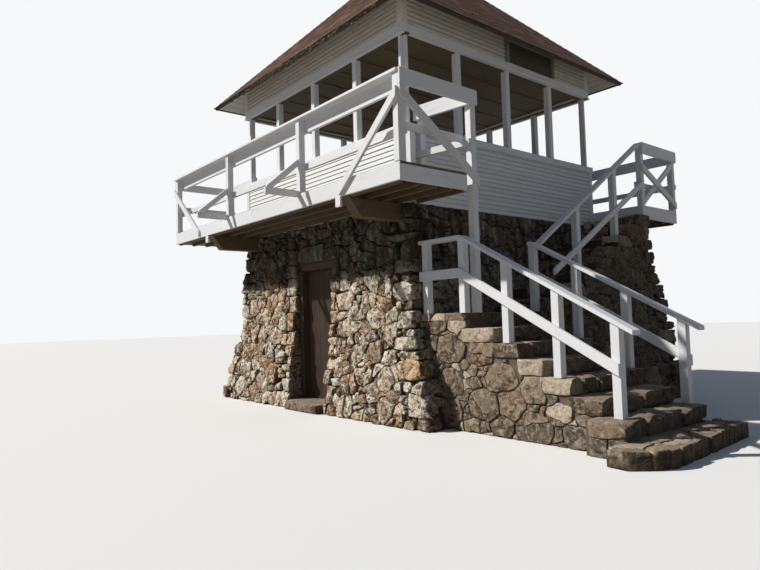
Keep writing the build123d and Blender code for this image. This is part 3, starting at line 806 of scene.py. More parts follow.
def shingle_look():
    """Red-brown mineral-faced shingles, each faded its own way."""
    look = Look("shingle")
    grain = look.grain()
    tones = [(0.0, (0.12, 0.056, 0.038)), (0.17, (0.23, 0.108, 0.066)), (0.36, (0.16, 0.078, 0.053)),
             (0.54, (0.35, 0.19, 0.115)), (0.68, (0.20, 0.10, 0.066)), (0.80, (0.42, 0.285, 0.190)),
             (0.87, (0.12, 0.082, 0.066))]
    colour = look.ramp(look.attribute("tone"), tones, "CONSTANT")
    colour = look.tint(colour, look.noise(grain, 13.0, 5.0, 0.65), 0.52, 0.62, 0.6, (0.10, 0.055, 0.042))
    clumps = look.noise(grain, 34.0, 6.0, 0.7)
    colour = look.mix(look.level(clumps, 0.42, 0.6, 0.55, 0.0), colour, (0.075, 0.045, 0.036))
    grit = look.noise(grain, 420.0, 3.0, 0.8)
    grains = [(0.32, (0.35, 0.3, 0.3)), (0.6, (1, 1, 1)), (0.75, (1, 0.95, 0.9))]
    colour = look.speckle(0.55, colour, grit, grains)
    return look.finish(colour, grit, 0.6, 0.004, 0.9, 0.2)


def moss_look():
    """Dry olive-grey moss."""
    look = Look("eave_moss")
    tufts = look.noise(look.grain(), 90.0, 6.0, 0.75)
    stops = [(0.32, (0.04, 0.038, 0.025)), (0.5, (0.14, 0.13, 0.085)), (0.68, (0.40, 0.37, 0.28))]
    return look.finish(look.ramp(tufts, stops), tufts, 1.0, 0.01, 0.95, 0.1)


def iron_look():
    """Rusted wrought iron."""
    look = Look("old_iron")
    rust = look.noise(look.spot(), 60.0, 8.0, 0.7)
    stops = [(0.35, (0.03, 0.026, 0.024)), (0.6, (0.10, 0.05, 0.028)), (0.8, (0.19, 0.09, 0.045))]
    return look.finish(look.ramp(rust, stops), rust, 0.6, 0.003, look.level(rust, 0.3, 0.7, 0.5, 0.9), 0.5)


stone_tones = [
    (0.0, (0.80, 0.60, 0.41)), (0.13, (0.52, 0.31, 0.16)), (0.21, (0.88, 0.76, 0.58)),
    (0.36, (0.50, 0.39, 0.30)), (0.46, (0.70, 0.46, 0.25)), (0.56, (0.90, 0.82, 0.67)),
    (0.73, (0.40, 0.29, 0.20)), (0.82, (0.80, 0.65, 0.48)), (0.92, (0.92, 0.87, 0.77))]
stair_tones = [
    (0.0, (0.25, 0.19, 0.135)), (0.16, (0.34, 0.26, 0.18)), (0.3, (0.18, 0.145, 0.11)),
    (0.42, (0.29, 0.23, 0.17)), (0.56, (0.42, 0.33, 0.235)), (0.68, (0.24, 0.215, 0.185)),
    (0.78, (0.37, 0.25, 0.15)), (0.88, (0.78, 0.66, 0.51))]
stone = rubble_look("rubble_stone", stone_tones, (0.42, 0.21, 0.08), 0.6, (0.90, 0.82, 0.69), 0.75, soot_and_shade=0.97)
stair_stone = rubble_look("stair_stone", stair_tones, (0.28, 0.15, 0.065), 0.4, (0.62, 0.53, 0.41), 0.6,
                          worn=0.5, pit_shade=0.5)
mortar = mortar_look("mortar", (0.05, 0.037, 0.027), (0.10, 0.078, 0.057), (0.18, 0.15, 0.115))
stair_mortar = mortar_look("stair_mortar", (0.10, 0.078, 0.056), (0.20, 0.16, 0.12), (0.34, 0.28, 0.215))
white_paint = paint_look("white_paint", (0.83, 0.84, 0.86), (0.62, 0.61, 0.60), 0.35)
# The siding and frieze paints darken under each lap: partly staining, partly painted shade.
siding_paint = paint_look("siding_paint", (0.80, 0.81, 0.82), (0.57, 0.56, 0.54), 0.3, 0.4, 0.7)
frieze_paint = paint_look("frieze_paint", (0.86, 0.84, 0.79), (0.62, 0.59, 0.52), 0.5, 0.65, 0.35)
grey_paint = paint_look("weathered_head_paint", (0.84, 0.86, 0.89), (0.45, 0.45, 0.45), 0.4)
soffit_paint = paint_look("soffit_paint", (0.74, 0.73, 0.70), (0.34, 0.30, 0.24), 0.75)
panel_paint = paint_look("panel_paint", (0.27, 0.27, 0.23), (0.16, 0.15, 0.12), 0.5)
# Door frame and door woods are darker than the wood's own brown: painted shade of the deep doorway.
shade_darkened_frame_wood = bare_wood_look("door_frame_wood", (0.04, 0.025, 0.016), (0.075, 0.045, 0.027),
                            (0.115, 0.07, 0.042))
door_wood = bare_wood_look("door_wood", (0.022, 0.013, 0.008), (0.045, 0.026, 0.016), (0.085, 0.05, 0.03))
panel_wood = bare_wood_look("panel_wood", (0.05, 0.046, 0.034), (0.085, 0.078, 0.056), (0.13, 0.12, 0.09))
# Near-black eave edge wood: painted shadow under the drip edge.
eave_shadow_wood = bare_wood_look("eave_edge_shadow_wood", (0.04, 0.03, 0.023), (0.065, 0.048, 0.036), (0.10, 0.075, 0.057))
deck_wood = bare_wood_look("deck_wood", (0.085, 0.057, 0.034), (0.165, 0.115, 0.068), (0.26, 0.19, 0.125),
                           bleach=0.3)
ceiling_wood = bare_wood_look("ceiling_wood", (0.07, 0.055, 0.027), (0.125, 0.10, 0.05), (0.19, 0.155, 0.085))
shingle = shingle_look()
moss = moss_look()
iron = iron_look()


# Stone base

def base_core():
    """The mortar walls behind the stones, round the hollow room."""
    pile = Pile()
    for z0, z1 in ((0.0, flare_level), (flare_level, stone_top)):
        for side, ends in ((0, (-1, None)), (0, (None, 1)), (1, (-1, 1)), (2, (-1, 1)), (3, (-1, 1))):
            place = compass(side)
            corners = []
            for number, bound in enumerate(ends):
                for skin in (0, 1):
                    for z in (z0, z1):
                        depths = (reach_y(z) - core_inset, reach_x(z) - core_inset)
                        deep = depths[side % 2]
                        wide = room_half if side % 2 else depths[1]
                        s = bound * wide if bound else (-door_half if number else door_half)
                        corners.append(place(s, room_half if skin else deep, z))
            core_block(pile, corners, (30, 2, 12), 0.012)
    place = compass(0)
    corners = [place(s, out, z) for s in (-door_half, door_half)
               for out in (reach_y(2.4) - core_inset, room_half) for z in (door_head, stone_top)]
    core_block(pile, corners, (8, 2, 4), 0.01)
    nodes = ("south_west", "south_east", "over_door", "east", "north", "west")
    pile.finish("base_mortar", mortar, "stone", [f"base_wall_{node}" for node in nodes], smooth=True)


def quoins():
    """Corner stones that bond round each corner, long and short in turn, and what they cover on each side."""
    pile = Pile()
    covered = [[], [], [], []]
    short = (0.12, 0.24)
    long = (0.22, 0.40)
    for side_x, side_y in ((1, -1), (1, 1), (-1, 1), (-1, -1)):
        levels = courses(0.0, stone_top, 0.10, 0.31)
        for number, (z0, z1) in enumerate(zip(levels, levels[1:])):
            along_x = rng.uniform(*(long if number % 2 else short))
            along_y = rng.uniform(*(short if number % 2 else long))
            middle = (z0 + z1) / 2
            in_x = reach_x(middle) - along_x
            in_y = reach_y(middle) - along_y
            proud = rng.uniform(-0.01, 0.03)
            corners = []
            for far_x in (0, 1):
                for far_y in (0, 1):
                    for z in (z0 + joint, z1 - joint):
                        x = reach_x(z) + proud if far_x else in_x + joint
                        y = reach_y(z) + proud if far_y else in_y + joint
                        corners.append((side_x * x, side_y * y, z))
            rock(pile, corners, (8, 8, 6), edge=0.014, lumps=0.019, cuts=10, skew=0.024)
            for side, length in ((0 if side_y < 0 else 2, in_x), (1 if side_x > 0 else 3, in_y)):
                sign = (side_x, side_y, -side_x, -side_y)[side]
                covered[side].append((length, 3.5, z0, z1) if sign > 0 else (-3.5, -length, z0, z1))
    pile.finish("base_quoins", stone, "stone", smooth=True)
    return covered


def jamb_stones(pile):
    """Stones on both sides of the doorway, and what they cover."""
    covered = []
    for side in (-1, 1):
        levels = courses(0.0, door_head, 0.11, 0.30)
        for number, (z0, z1) in enumerate(zip(levels, levels[1:])):
            length = rng.uniform(0.17, 0.27) if number % 2 else rng.uniform(0.09, 0.17)
            proud = rng.uniform(-0.012, 0.02)
            splay = 0.055 + rng.uniform(-0.02, 0.02) if side < 0 else 0.0
            corners = []
            for x, step in ((door_half + 0.004, splay), (door_half + length - joint, 0.0)):
                for skin in (0, 1):
                    for z in (z0 + joint, z1 - joint):
                        y = frame_back - 0.02 if skin else -(reach_y(z) + proud)
                        corners.append((side * (x if skin else x - step), y, z))
            rock(pile, corners, (6, 7, 6), edge=0.012, lumps=0.014, cuts=8, skew=0.012)
            x0, x1 = sorted((side * door_half, side * (door_half + length)))
            covered.append((x0, x1, z0, z1))
    return covered


def door_surround():
    """Stones beside and over the doorway, and what they and the door cover."""
    pile = Pile()
    covered = [(-door_half - 0.02, door_half + 0.02, 0.0, door_head)] + jamb_stones(pile)
    edges = [-0.72, -0.4, -0.02, 0.3, 0.7]
    for x0, x1 in zip(edges, edges[1:]):
        height = rng.uniform(0.17, 0.26)
        corners = box_corners(x0 + joint, x1 - joint, -reach_y(2.3) - 0.015, frame_back - 0.02,
                              door_head + 0.004, door_head + height)
        rock(pile, corners, (7, 4, 6), edge=0.012, lumps=0.014, cuts=7, skew=0.010)
        covered.append((x0, x1, door_head, door_head + height + joint))
    pile.finish("door_surround", stone, "stone", smooth=True)
    return covered


def stair_outline(y):
    """Top of the stair masses along the east wall, over a place y."""
    if y < stair_south:
        return -1.0
    if y < stair_north:
        return landing_level
    step = 1 + math.floor((y - stair_north) / upper_tread)
    return min(floor_level, landing_level + upper_riser * step)


def base_walls():
    """The rubble between the corner stones on the four sides."""
    covered = quoins()
    covered[0].extend(door_surround())
    for side, places in ((0, beam_places), (2, [-x for x in platform_beams])):
        covered[side].extend((x - 0.1, x + 0.1, beam_bottom - 0.02, 2.9) for x in places)
    bounds = (-2.75, 2.75, 0.0, stone_top)
    for side, name in enumerate(side_names):
        pile = Pile()
        turned = compass(side)
        deep = (reach_y, reach_x)[side % 2]

        def place(s, z, h):
            return turned(s, deep(z) + h, max(z, 0.0))
        cells = rubble_cells(*bounds, 0.05, 0.18, covered[side])
        small = fillers(cells, covered[side], bounds)
        for number, cell in enumerate(cells + small):
            s = sum(p[0] for p in cell) / len(cell)
            z = sum(p[1] for p in cell) / len(cell)
            if side != 1 or z >= stair_outline(s) - 0.2:
                face_stone(pile, cell, place, proud=0.026 if number < len(cells) else 0.008)
        pile.finish(f"base_stones_{name}", stone, "stone", smooth=True)


def base_floor():
    """The ground floor slab and the worn threshold stone that runs out through the doorway."""
    pile = Pile()
    rock(pile, box_corners(-room_half, room_half, -room_half, room_half, 0.0, base_floor_thick),
         (16, 16, 1), edge=0.01, lumps=0.004, cuts=0, tone=0.5)
    rock(pile, box_corners(-door_half + 0.005, door_half - 0.005, threshold_front, -room_half - 0.002,
                           0.0, base_floor_thick), (8, 6, 2), cuts=2, tone=0.45)
    pile.finish("base_floor_stone", stair_stone, "stone", ("base_floor",), smooth=True)


base_core()
base_walls()
base_floor()


# Stairs

def wall_of_stones(pile, cells, boxes, bounds, place, proud=0.02, rugged=1.0, pale=0.0):
    """Stones of a stair wall, with small ones in the gaps where the wall is rough."""
    smooth = rugged < 1.0
    small = [] if smooth else fillers(cells, boxes, bounds)
    for number, cell in enumerate(cells + small):
        tone = rng.random()
        if rng.random() < pale:
            tone = 0.95
        face_stone(pile, cell, place, proud=proud if number < len(cells) else 0.3 * proud, rugged=rugged,
                   tone=tone, curve=0.045 if smooth else 0.025)


def tread_stones(blocks, step, nose, run, south, level):
    """The stones of one step, side by side."""
    cuts = [south]
    while stair_north - cuts[-1] > 0.5:
        cuts.append(cuts[-1] + rng.uniform(0.24, 0.46))
    cuts.append(stair_north)
    for y0, y1 in zip(cuts, cuts[1:]):
        first = y0 == south
        corners = box_corners(nose - 0.06, nose + run + rng.uniform(-0.02, 0.015),
                              y0 + (-0.004 if first else 0.006), y1 - 0.006,
                              max(0.0, level - riser + 0.008), level - rng.uniform(0.0, 0.012))
        tone = 0.95 if first and step in (1, 3, 4) else rng.uniform(0.0, 0.87)
        rock(blocks, corners, (6, 6, 4), edge=0.010, lumps=0.010, cuts=4, skew=0.006, tone=tone)


def lower_flight(core, blocks):
    """The steps down to the east. Returns the last nose and what the steps cover of the side walls."""
    boxes = [(2.0, landing_edge + 0.01, landing_level - 0.08, 2.0)]
    nose = landing_edge
    for step in range(1, 7):
        run = first_tread if step == 1 else tread
        level = landing_level - step * riser
        south = stair_south - (0.15 if step == 6 else 0.0)
        core_block(core, box_corners(nose - 0.1, nose + run - flush_inset, south + smooth_inset,
                                     stair_north - smooth_inset, 0.0, level - 0.05), (3, 8, 4), 0.003)
        tread_stones(blocks, step, nose, run, south, level)
        if step == 6:
            for x0, x1 in ((nose - 0.06, nose + 0.12), (nose + 0.13, nose + run - 0.005)):
                rock(blocks, box_corners(x0, x1, south - 0.002, south + 0.2, 0.0, level - riser + 0.002),
                     (5, 4, 3), edge=0.010, cuts=2, skew=0.004)
        boxes.append((nose - 0.01, nose + run + 0.01, level - riser, 2.0))
        nose = nose + run
    boxes.append((nose - 0.01, 6.0, -1.0, 2.0))
    return nose, boxes


def flight_sides(walls, nose, boxes):
    """The smooth stone walls on the south and north of the landing and the lower flight."""
    turned = [(-b[1], -b[0], b[2], b[3]) for b in boxes]
    for x0, x1, tries, kept, place in (
            (2.12, nose, 2600, boxes, lambda s, z, h: (s, stair_south - h, max(z, 0.0))),
            (-nose, -3.2, 2000, turned, lambda s, z, h: (-s, stair_north + h, max(z, 0.0)))):
        bounds = (x0, x1, 0.0, landing_level)
        cells = rubble_cells(*bounds, 0.04, 0.24, kept, flat=1.35, tries=tries, broken=0.45, full=True)
        wall_of_stones(walls, cells, kept, bounds, place, 0.008, 0.36, 0.08)


def landing_stones(blocks):
    """The landing: thin stones along its south edge and larger ones behind them."""
    edges = [2.16, 2.4, 2.66, landing_edge]
    for number, (x0, x1) in enumerate(zip(edges, edges[1:])):
        corners = box_corners(x0 + 0.004, x1 - 0.004, stair_south - 0.01, stair_south + 0.42,
                              landing_level - 0.085, landing_level)
        rock(blocks, corners, (6, 6, 3), edge=0.008, cuts=2, tone=0.95 if number < 2 else 0.45)
    for y0, y1 in ((-1.63, -1.25), (-1.25, -0.93), (-0.93, stair_north)):
        for x0, x1, thick, lumps, cuts in ((2.16, 2.56, 0.1, 0.007, 1),
                                           (2.57, landing_edge, riser, 0.008, 2)):
            corners = box_corners(x0, x1, y0 + 0.005, y1 - 0.005, landing_level - thick, landing_level)
            rock(blocks, corners, (3, 3, 1), edge=0.02, lumps=lumps, cuts=cuts)


def bottom_step(core, blocks, nose):
    """The wide step of uneven outline at the foot of the stairs."""
    outline = [(nose - 0.06, stair_south - 0.15), (nose - 0.06, stair_south - 0.40),
               (nose + 0.16, stair_south - 0.425), (nose + 0.32, stair_south - 0.234),
               (nose + 0.392, stair_south - 0.043), (nose + 0.355, -1.3275),
               (nose + 0.3, stair_north + 0.26), (nose, stair_north + 0.26)]
    for cell in rubble_cells(nose - 0.06, nose + 0.41, stair_south - 0.43, stair_north + 0.26, 0.09, 0.17,
                             flat=1.0, tries=900):
        for nx, ny, limit in sides_of(outline):
            cell = clip(cell, nx, ny, limit) if len(cell) > 2 else cell
        if len(cell) > 2 and area(cell) > 0.002:
            end = cell[0][0] < nose + 0.2 and cell[0][1] < stair_south - 0.12
            face_stone(blocks, cell, lambda s, y, h: (s, y, min(max(0.0, riser - 0.012 + h), riser)),
                       proud=0.010, depth=riser - 0.012, rugged=0.5, tone=0.95 if end else None, curve=0.012)
    spans = ((nose - 0.07, stair_south - 0.38), (nose + 0.27, stair_south - 0.2))
    corners = [(x, y, z) for x, south in spans
               for y in (south, stair_north + 0.2) for z in (0.0, riser - 0.03)]
    core_block(core, corners, (3, 8, 2), 0.008)


def lower_stairs():
    """The landing and the flight that goes down to the east."""
    core = Pile()
    blocks = Pile()
    walls = Pile()
    corners = box_corners(2.2, landing_edge - flush_inset, stair_south + smooth_inset, stair_north,
                          0.0, landing_level - 0.05)
    core_block(core, corners, (6, 8, 8), 0.003)
    nose, boxes = lower_flight(core, blocks)
    flight_sides(walls, nose, boxes)
    landing_stones(blocks)
    bottom_step(core, blocks, nose)
    blocks.finish("lower_steps", stair_stone, "stair_stone", ("stair_landing", "lower_flight"), smooth=True)
    walls.finish("lower_stair_walls", stair_stone, "stair_stone", smooth=True)
    core.finish("lower_stair_mortar", stair_mortar, "stair_stone", smooth=True)


def mass_east(z):
    """East face of the upper stair mass at a height."""
    return stair_mass_base + (stair_mass_top - stair_mass_base) * z / floor_level


def mass_corner(pile):
    """Bulging corner stones at the north-east edge of the stair mass, and what they cover on both sides."""
    east = []
    north = []
    short = (0.14, 0.24)
    long = (0.24, 0.36)
    levels = courses(0.0, stone_top - 0.01, 0.12, 0.30)
    for number, (z0, z1) in enumerate(zip(levels, levels[1:])):
        middle = (z0 + z1) / 2
        in_x = mass_east(middle) - rng.uniform(*(long if number % 2 else short))
        in_y = reach_y(middle) - rng.uniform(*(short if number % 2 else long))
        proud = rng.uniform(-0.03, 0.045)
        corners = [(mass_east(z) + proud if far_x else in_x, reach_y(z) + proud if far_y else in_y, z)
                   for far_x in (0, 1) for far_y in (0, 1) for z in (z0 + joint, z1 - joint)]
        rock(pile, corners, (7, 7, 6), edge=0.03, lumps=0.03, cuts=9, skew=0.026)
        east.append((in_y, 3.0, z0, z1))
        north.append((-3.6, -in_x, z0, z1))
    return east, north


def upper_flight(core, blocks):
    """The steps up to the platform. Returns what they cover of the mass's east wall."""
    boxes = []
    for step in range(1, 9):
        y0 = stair_north + (step - 1) * upper_tread
        y1 = y0 + upper_tread
        level = landing_level + step * upper_riser
        inset = flush_inset if step < 8 else corner_inset
        south = y0 + flush_inset if step == 1 else y0
        corners = [(mass_east(z) - inset if far else mass_inner, y, z)
                   for far in (0, 1) for y in (south, y1) for z in (0.0, level - 0.05)]
        core_block(core, corners, (4, 3, 14), 0.01)
        edge = mass_east(level)
        splits = [2.15, 2.15 + rng.uniform(0.25, 0.4), edge - rng.uniform(0.26, 0.4),
                  edge + rng.uniform(0.0, 0.03)]
        for x0, x1 in zip(splits, splits[1:]):
            corners = box_corners(x0 + 0.006, x1 - 0.006, y0 + rng.uniform(-0.015, 0.01),
                                  min(y1 + 0.05, cab_half + 0.03),
                                  level - upper_riser + 0.008, level - rng.uniform(0.0, 0.01))
            rock(blocks, corners, (5, 5, 4), edge=0.012, lumps=0.014, cuts=5, skew=0.008)
        boxes.append((y0 - 0.01, y1 + 0.01, level - upper_riser * 0.9, 4.0))
    return boxes


def upper_stairs():
    """The battered stair mass along the east wall."""
    core = Pile()
    blocks = Pile()
    walls = Pile()
    boxes = upper_flight(core, blocks)
    corners = [(mass_east(z) - corner_inset if far else mass_inner,
                reach_y(z) - flush_inset if outer else cab_half, z)
               for far in (0, 1) for outer in (0, 1) for z in (0.0, stone_top - 0.02)]
    core_block(core, corners, (4, 2, 12), 0.01)
    boxes.append((cab_half - 0.02, 3.0, stone_top - 0.01, 4.0))
    east_boxes, north_boxes = mass_corner(walls)
    boxes.extend(east_boxes)
    cells = rubble_cells(stair_north, 2.42, 0.0, 2.9, 0.055, 0.2, boxes, tries=2200)
    wall_of_stones(walls, cells, boxes, (stair_north, 2.4, 0.0, 2.9),
                   lambda s, z, h: (mass_east(z) + h, s, max(z, 0.0)), 0.024)
    bounds = (2.9, 3.42, 0.0, landing_level + 0.1)
    cells = rubble_cells(*bounds, 0.06, 0.15, tries=600)
    wall_of_stones(walls, cells, [], bounds, lambda s, z, h: (s, stair_north - h, max(z, 0.0)))
    bounds = (-3.4, -2.15, 0.0, stone_top)
    cells = rubble_cells(*bounds, 0.06, 0.19, north_boxes, tries=1200)
    wall_of_stones(walls, cells, north_boxes, bounds, lambda s, z, h: (-s, reach_y(z) + h, max(z, 0.0)))
    blocks.finish("upper_steps", stair_stone, "stair_stone", ("upper_flight",), smooth=True)
    walls.finish("upper_stair_walls", stair_stone, "stair_stone", smooth=True)
    core.finish("upper_stair_mortar", mortar, "stair_stone", smooth=True)


lower_stairs()
upper_stairs()


# Base door

def door_frame():
    """Heavy frame of the base door."""
    pile = Pile()
    jamb = 0.11
    for side in (-1, 1):
        x0, x1 = sorted((side * door_half, side * (door_half - jamb)))
        stick(pile, x0, x1, frame_front, frame_back, base_floor_thick, door_head - jamb, chamfer=0.006)
    stick(pile, -door_half, door_half, frame_front, frame_back, door_head - jamb, door_head, chamfer=0.006)
    pile.finish("base_door_posts", shade_darkened_frame_wood, "door_wood", ("base_door_frame",))


def strap_hinge(metal, z):
    """A three-part barrel and the strap that runs across the leaf."""
    sides = 16
    radius = 0.0105
    angles = [2 * math.pi * i / sides for i in range(sides)]
    ring = [(hinge_x + radius * math.cos(a), hinge_y + radius * math.sin(a)) for a in angles]
    for k in range(3):
        low = z - 0.055 + k * 0.037
        points = [(x, y, low) for x, y in ring] + [(x, y, low + 0.035) for x, y in ring]
        metal.add(points, tube_faces(sides, 2), 0.5, points)
    stick(metal, -0.376, -0.12, frame_back, frame_back + 0.005, z - 0.02, z + 0.02, chamfer=0.0015, bow=0)


def base_door():
    """Ledged plank door with strap hinges."""
    pile = Pile()
    low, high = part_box("base_door")
    front = frame_back - 0.045
    middle = front + 0.025
    edges = [-leaf_half + 2 * leaf_half * i / 5 for i in range(6)]
    for x0, x1 in zip(edges, edges[1:]):
        stick(pile, x0 + 0.001, x1 - 0.001, front, middle, low.z, high.z, chamfer=0.003)
    for z in (0.42, 1.15, 1.9):
        stick(pile, -0.37, 0.37, middle, frame_back, z - 0.07, z + 0.07)
    pile.finish("base_door_planks", door_wood, "door_wood", ("base_door",), body="door")
    metal = Pile()
    strap_hinge(metal, 0.22 * door_head)
    strap_hinge(metal, 0.78 * door_head)
    metal.finish("base_door_hinges", iron, "door_wood", body="door")


door_frame()
base_door()


# Cab

def along(pile, place, s0, s1, outline, **style):
    """A stick along a side of the cab, with an outline of places out and z."""
    timber(pile, *[[place(s, out, z) for out, z in outline] for s in (s0, s1)], **style)


def upright(pile, place, outline, z0, z1, **style):
    """An upright stick on a side of the cab, with an outline of places s and out."""
    timber(pile, *[[place(s, out, z) for s, out in outline] for z in (z0, z1)], **style)


def lap_boards(pile, place, s0, s1, z0, z1, front=0.009, back=0.009):
    """Lap siding on one side of the cab, each course in lengths butted end to end."""
    inner = cab_half - 0.024
    z = z0
    while z < z1 - 0.012:
        top = min(z + lap + 0.004, z1)
        joints = sorted(rng.uniform(s0 + 0.5, s1 - 0.5) for _ in range(rng.choice((0, 0, 1))))
        joints = [s0, *joints, s1]
        for a, b in zip(joints, joints[1:]):
            lift = rng.uniform(-0.0008, 0.0008)
            outline = [(cab_half + front + lift, z), (cab_half - back + lift, top), (inner, top), (inner, z)]
            along(pile, place, a + 0.0008, b - 0.0008, outline, chamfer=0.0015, bow=0, lapped=True)
        z += lap


def lining(pile, place, s0, s1, inner, z0, z1):
    """The plain boards behind the siding."""
    outer = cab_half - 0.022
    outline = [(outer, z0), (outer, z1), (inner, z1), (inner, z0)]
    along(pile, place, s0, s1, outline, chamfer=0.002, bow=0)


def low_wall(side, name):
    """Siding, lining and corner boards of one low wall. The north wall leaves its doorway open."""
    pile = Pile()
    place = compass(side)
    doorway = side == 2
    start = -cab_inner
    low = stone_top + (0.024 if side == 0 else 0.0)
    if doorway:
        start = doorway_edge
        lap_boards(pile, place, -siding_end, start, stone_top, floor_level, 0.008, 0.004)
    lap_boards(pile, place, start if doorway else -siding_end, siding_end, low, wall_top, 0.008, 0.004)
    if doorway:
        lining(pile, place, -cab_inner, start, cab_inner, stone_top, floor_level)
    lining(pile, place, start, cab_inner, cab_inner, stone_top, wall_top)
    for end in (-1, 1):
        s0, s1 = sorted((end * siding_end, end * cab_half))
        top = floor_level if doorway and end < 0 else wall_top
        upright(pile, place, square(s0, s1, cab_half + 0.011, cab_half - 0.12), stone_top, top,
                chamfer=0.003, bow=0)
    pile.finish(f"siding_{name}", siding_paint, "siding", (f"cab_wall_{name}",))


def frieze(side, name):
    """Siding, lining and corner boards between the windows and the eave."""
    pile = Pile()
    place = compass(side)
    lap_boards(pile, place, -siding_end, siding_end, band_top, frieze_top)
    lining(pile, place, -cab_half + 0.1, cab_half - 0.1, cab_half - 0.1, head_top, frieze_top - 0.03)
    wide = cab_half + (-0.0185 if side % 2 else 0.011)
    for end in (-1, 1):
        s0, s1 = sorted((end * siding_end, end * wide))
        upright(pile, place, square(s0, s1, cab_half + 0.011, cab_half - 0.018), band_top, frieze_top,
                chamfer=0.002, bow=0)
    pile.finish(f"frieze_siding_{name}", frieze_paint, "siding", (f"frieze_{name}",))


def window_posts(pile, place, wide):
    """Posts between the bays of one side, and the corner posts on the sides that carry them."""
    for line in (-1, 0, 1):
        outline = square(line * bay - half_post, line * bay + half_post, post_outer, post_inner)
        upright(pile, place, outline, sill_level, head_level)
    if not wide:
        return
    fold = post_outer - half_post
    for corner in (-1, 1):
        for s0, s1, out0, out1 in ((post_inner, fold, post_inner, post_outer),
                                   (post_outer - 0.0445, post_outer, post_inner, fold)):
            outline = [(corner * s, out) for s, out in square(s0, s1, out0, out1)]
            upright(pile, place, outline, sill_level, head_level, chamfer=0.003, bow=0)


def window_frame(side, name):
    """Sill, head and posts round the open bays of one side."""
    pile = Pile()
    weathered = Pile()
    inside = Pile()
    place = compass(side)
    wide = side % 2 == 0

    def bar(into, s0, s1, in0, out0, z0, z1, **style):
        along(into, place, s0, s1, square(in0, out0, z0, z1), **style)
    end = trim_outer if wide else cab_inner
    for s0, s1 in ((doorway_edge, end), (-end, -cab_inner)) if side == 2 else ((-end, end),):
        bar(pile, s0, s1, cab_inner, trim_outer, wall_top, sill_level, chamfer=0.005)
    bar(pile, -end, end, trim_outer - 0.06, trim_outer, head_level, trim_top)
    reach = board_outer if wide else cab_inner
    top = band_top - 0.002
    bar(weathered, -reach, reach, cab_inner, board_outer, trim_top, top, chamfer=0.003)
    bar(weathered, -reach + 0.03, reach - 0.03, cab_inner, cab_half - 0.025, top, head_top, bow=0)
    bar(inside, -reach, reach, cab_inner, trim_outer - 0.061, head_level, trim_top - 0.001, chamfer=0.003)
    window_posts(pile, place, wide)
    pile.finish(f"window_trim_{name}", white_paint, "white_paint", (f"window_frame_{name}",))
    weathered.finish(f"window_head_{name}", grey_paint, "white_paint")
    inside.finish(f"window_head_inside_{name}", ceiling_wood, "ceiling_wood")


def cab_floor():
    """Floor boards on a solid floor."""
    pile = Pile()
    count = 28
    width = 2 * cab_inner / count
    for i in range(count):
        x = -cab_inner + i * width
        stick(pile, x + 0.001, x + width - 0.001, -cab_inner, cab_inner, floor_level - 0.03, floor_level,
              chamfer=0.002, bow=0)
    stick(pile, -cab_inner, cab_inner, -cab_inner, cab_inner, stone_top, floor_level - 0.031,
          chamfer=0.003, bow=0)
    pile.finish("cab_floor_boards", deck_wood, "deck_wood", ("cab_floor",))


def cab_ceiling():
    """Ceiling panels and the battens under their joints."""
    panels = Pile()
    panel_level = ceiling_level + 0.012
    width = cab_inner / 2
    for i in range(4):
        for j in range(2):
            x = -cab_inner + i * cab_inner / 2
            y = -cab_inner + j * cab_inner
            stick(panels, x + 0.002, x + width - 0.002, y + 0.002, y + cab_inner - 0.002,
                  panel_level, ceiling_level + 0.04, chamfer=0.002, bow=0)
    panels.finish("cab_ceiling_panels", ceiling_wood, "ceiling_wood", ("cab_ceiling",))
    battens = Pile()
    half = 0.025
    for i in range(9):
        x = -cab_inner + i * cab_inner / 4
        x = min(max(x, -cab_inner + half), cab_inner - half)
        stick(battens, x - half, x + half, -cab_inner, cab_inner, ceiling_level, panel_level,
              chamfer=0.002, bow=0)
    battens.finish("cab_ceiling_battens", ceiling_wood, "ceiling_wood")


def frieze_panel():
    """Blank framed panel on the east frieze."""
    y0, y1 = -0.07, 1.13
    z0, z1 = ceiling_level, ceiling_level + 0.46
    inner, outer = cab_half - 0.02, cab_half + 0.045
    ledge = Pile()
    stick(ledge, board_outer, outer, y0, y1, z0, z0 + 0.06)
    ledge.finish("frieze_panel_ledge", white_paint, "siding", ("frieze_panel",))
    border = Pile()
    stick(border, inner, outer, y0, y1, z1 - 0.06, z1)
    for a, b in ((y0, y0 + 0.06), (y1 - 0.06, y1)):
        stick(border, inner, outer, a, b, z0 + 0.061, z1 - 0.061)
    border.finish("frieze_panel_frame", panel_paint, "siding")
    field = Pile()
    for i in range(4):
        z = z0 + 0.06 + i * 0.085
        stick(field, inner, cab_half + 0.015, y0 + 0.06, y1 - 0.06, z, z + 0.084, chamfer=0.0015, bow=0)
    field.finish("frieze_panel_boards", panel_wood, "siding")


for side, name in enumerate(side_names):
    low_wall(side, name)
    frieze(side, name)
for side, name in enumerate(side_names):
    window_frame(side, name)
cab_floor()
cab_ceiling()
frieze_panel()


# Roof

slope_length = roof_half * math.hypot(1, roof_slope)
slope_run = 1 / math.hypot(1, roof_slope)
slope_rise = roof_slope * slope_run


def on_slope(side, s, up, lift):
    """A point on a slope: s along the eave, up the slope from the eave, lift off the CAD's upper face."""
    out = roof_half - up * slope_run + lift * slope_rise
    z = eave_level + up * slope_rise + lift * slope_run
    return compass(side)(s, out, z)


def slope_board(pile, side, up0, up1, low, high, chamfer):
    """A board along a slope from hip to hip."""
    outline = square(up0, up1, low, high)
    ends = [[on_slope(side, end * (roof_half - up * slope_run - 0.004), up, lift) for up, lift in outline]
            for end in (-1, 1)]
    timber(pile, *ends, chamfer=chamfer, bow=0)


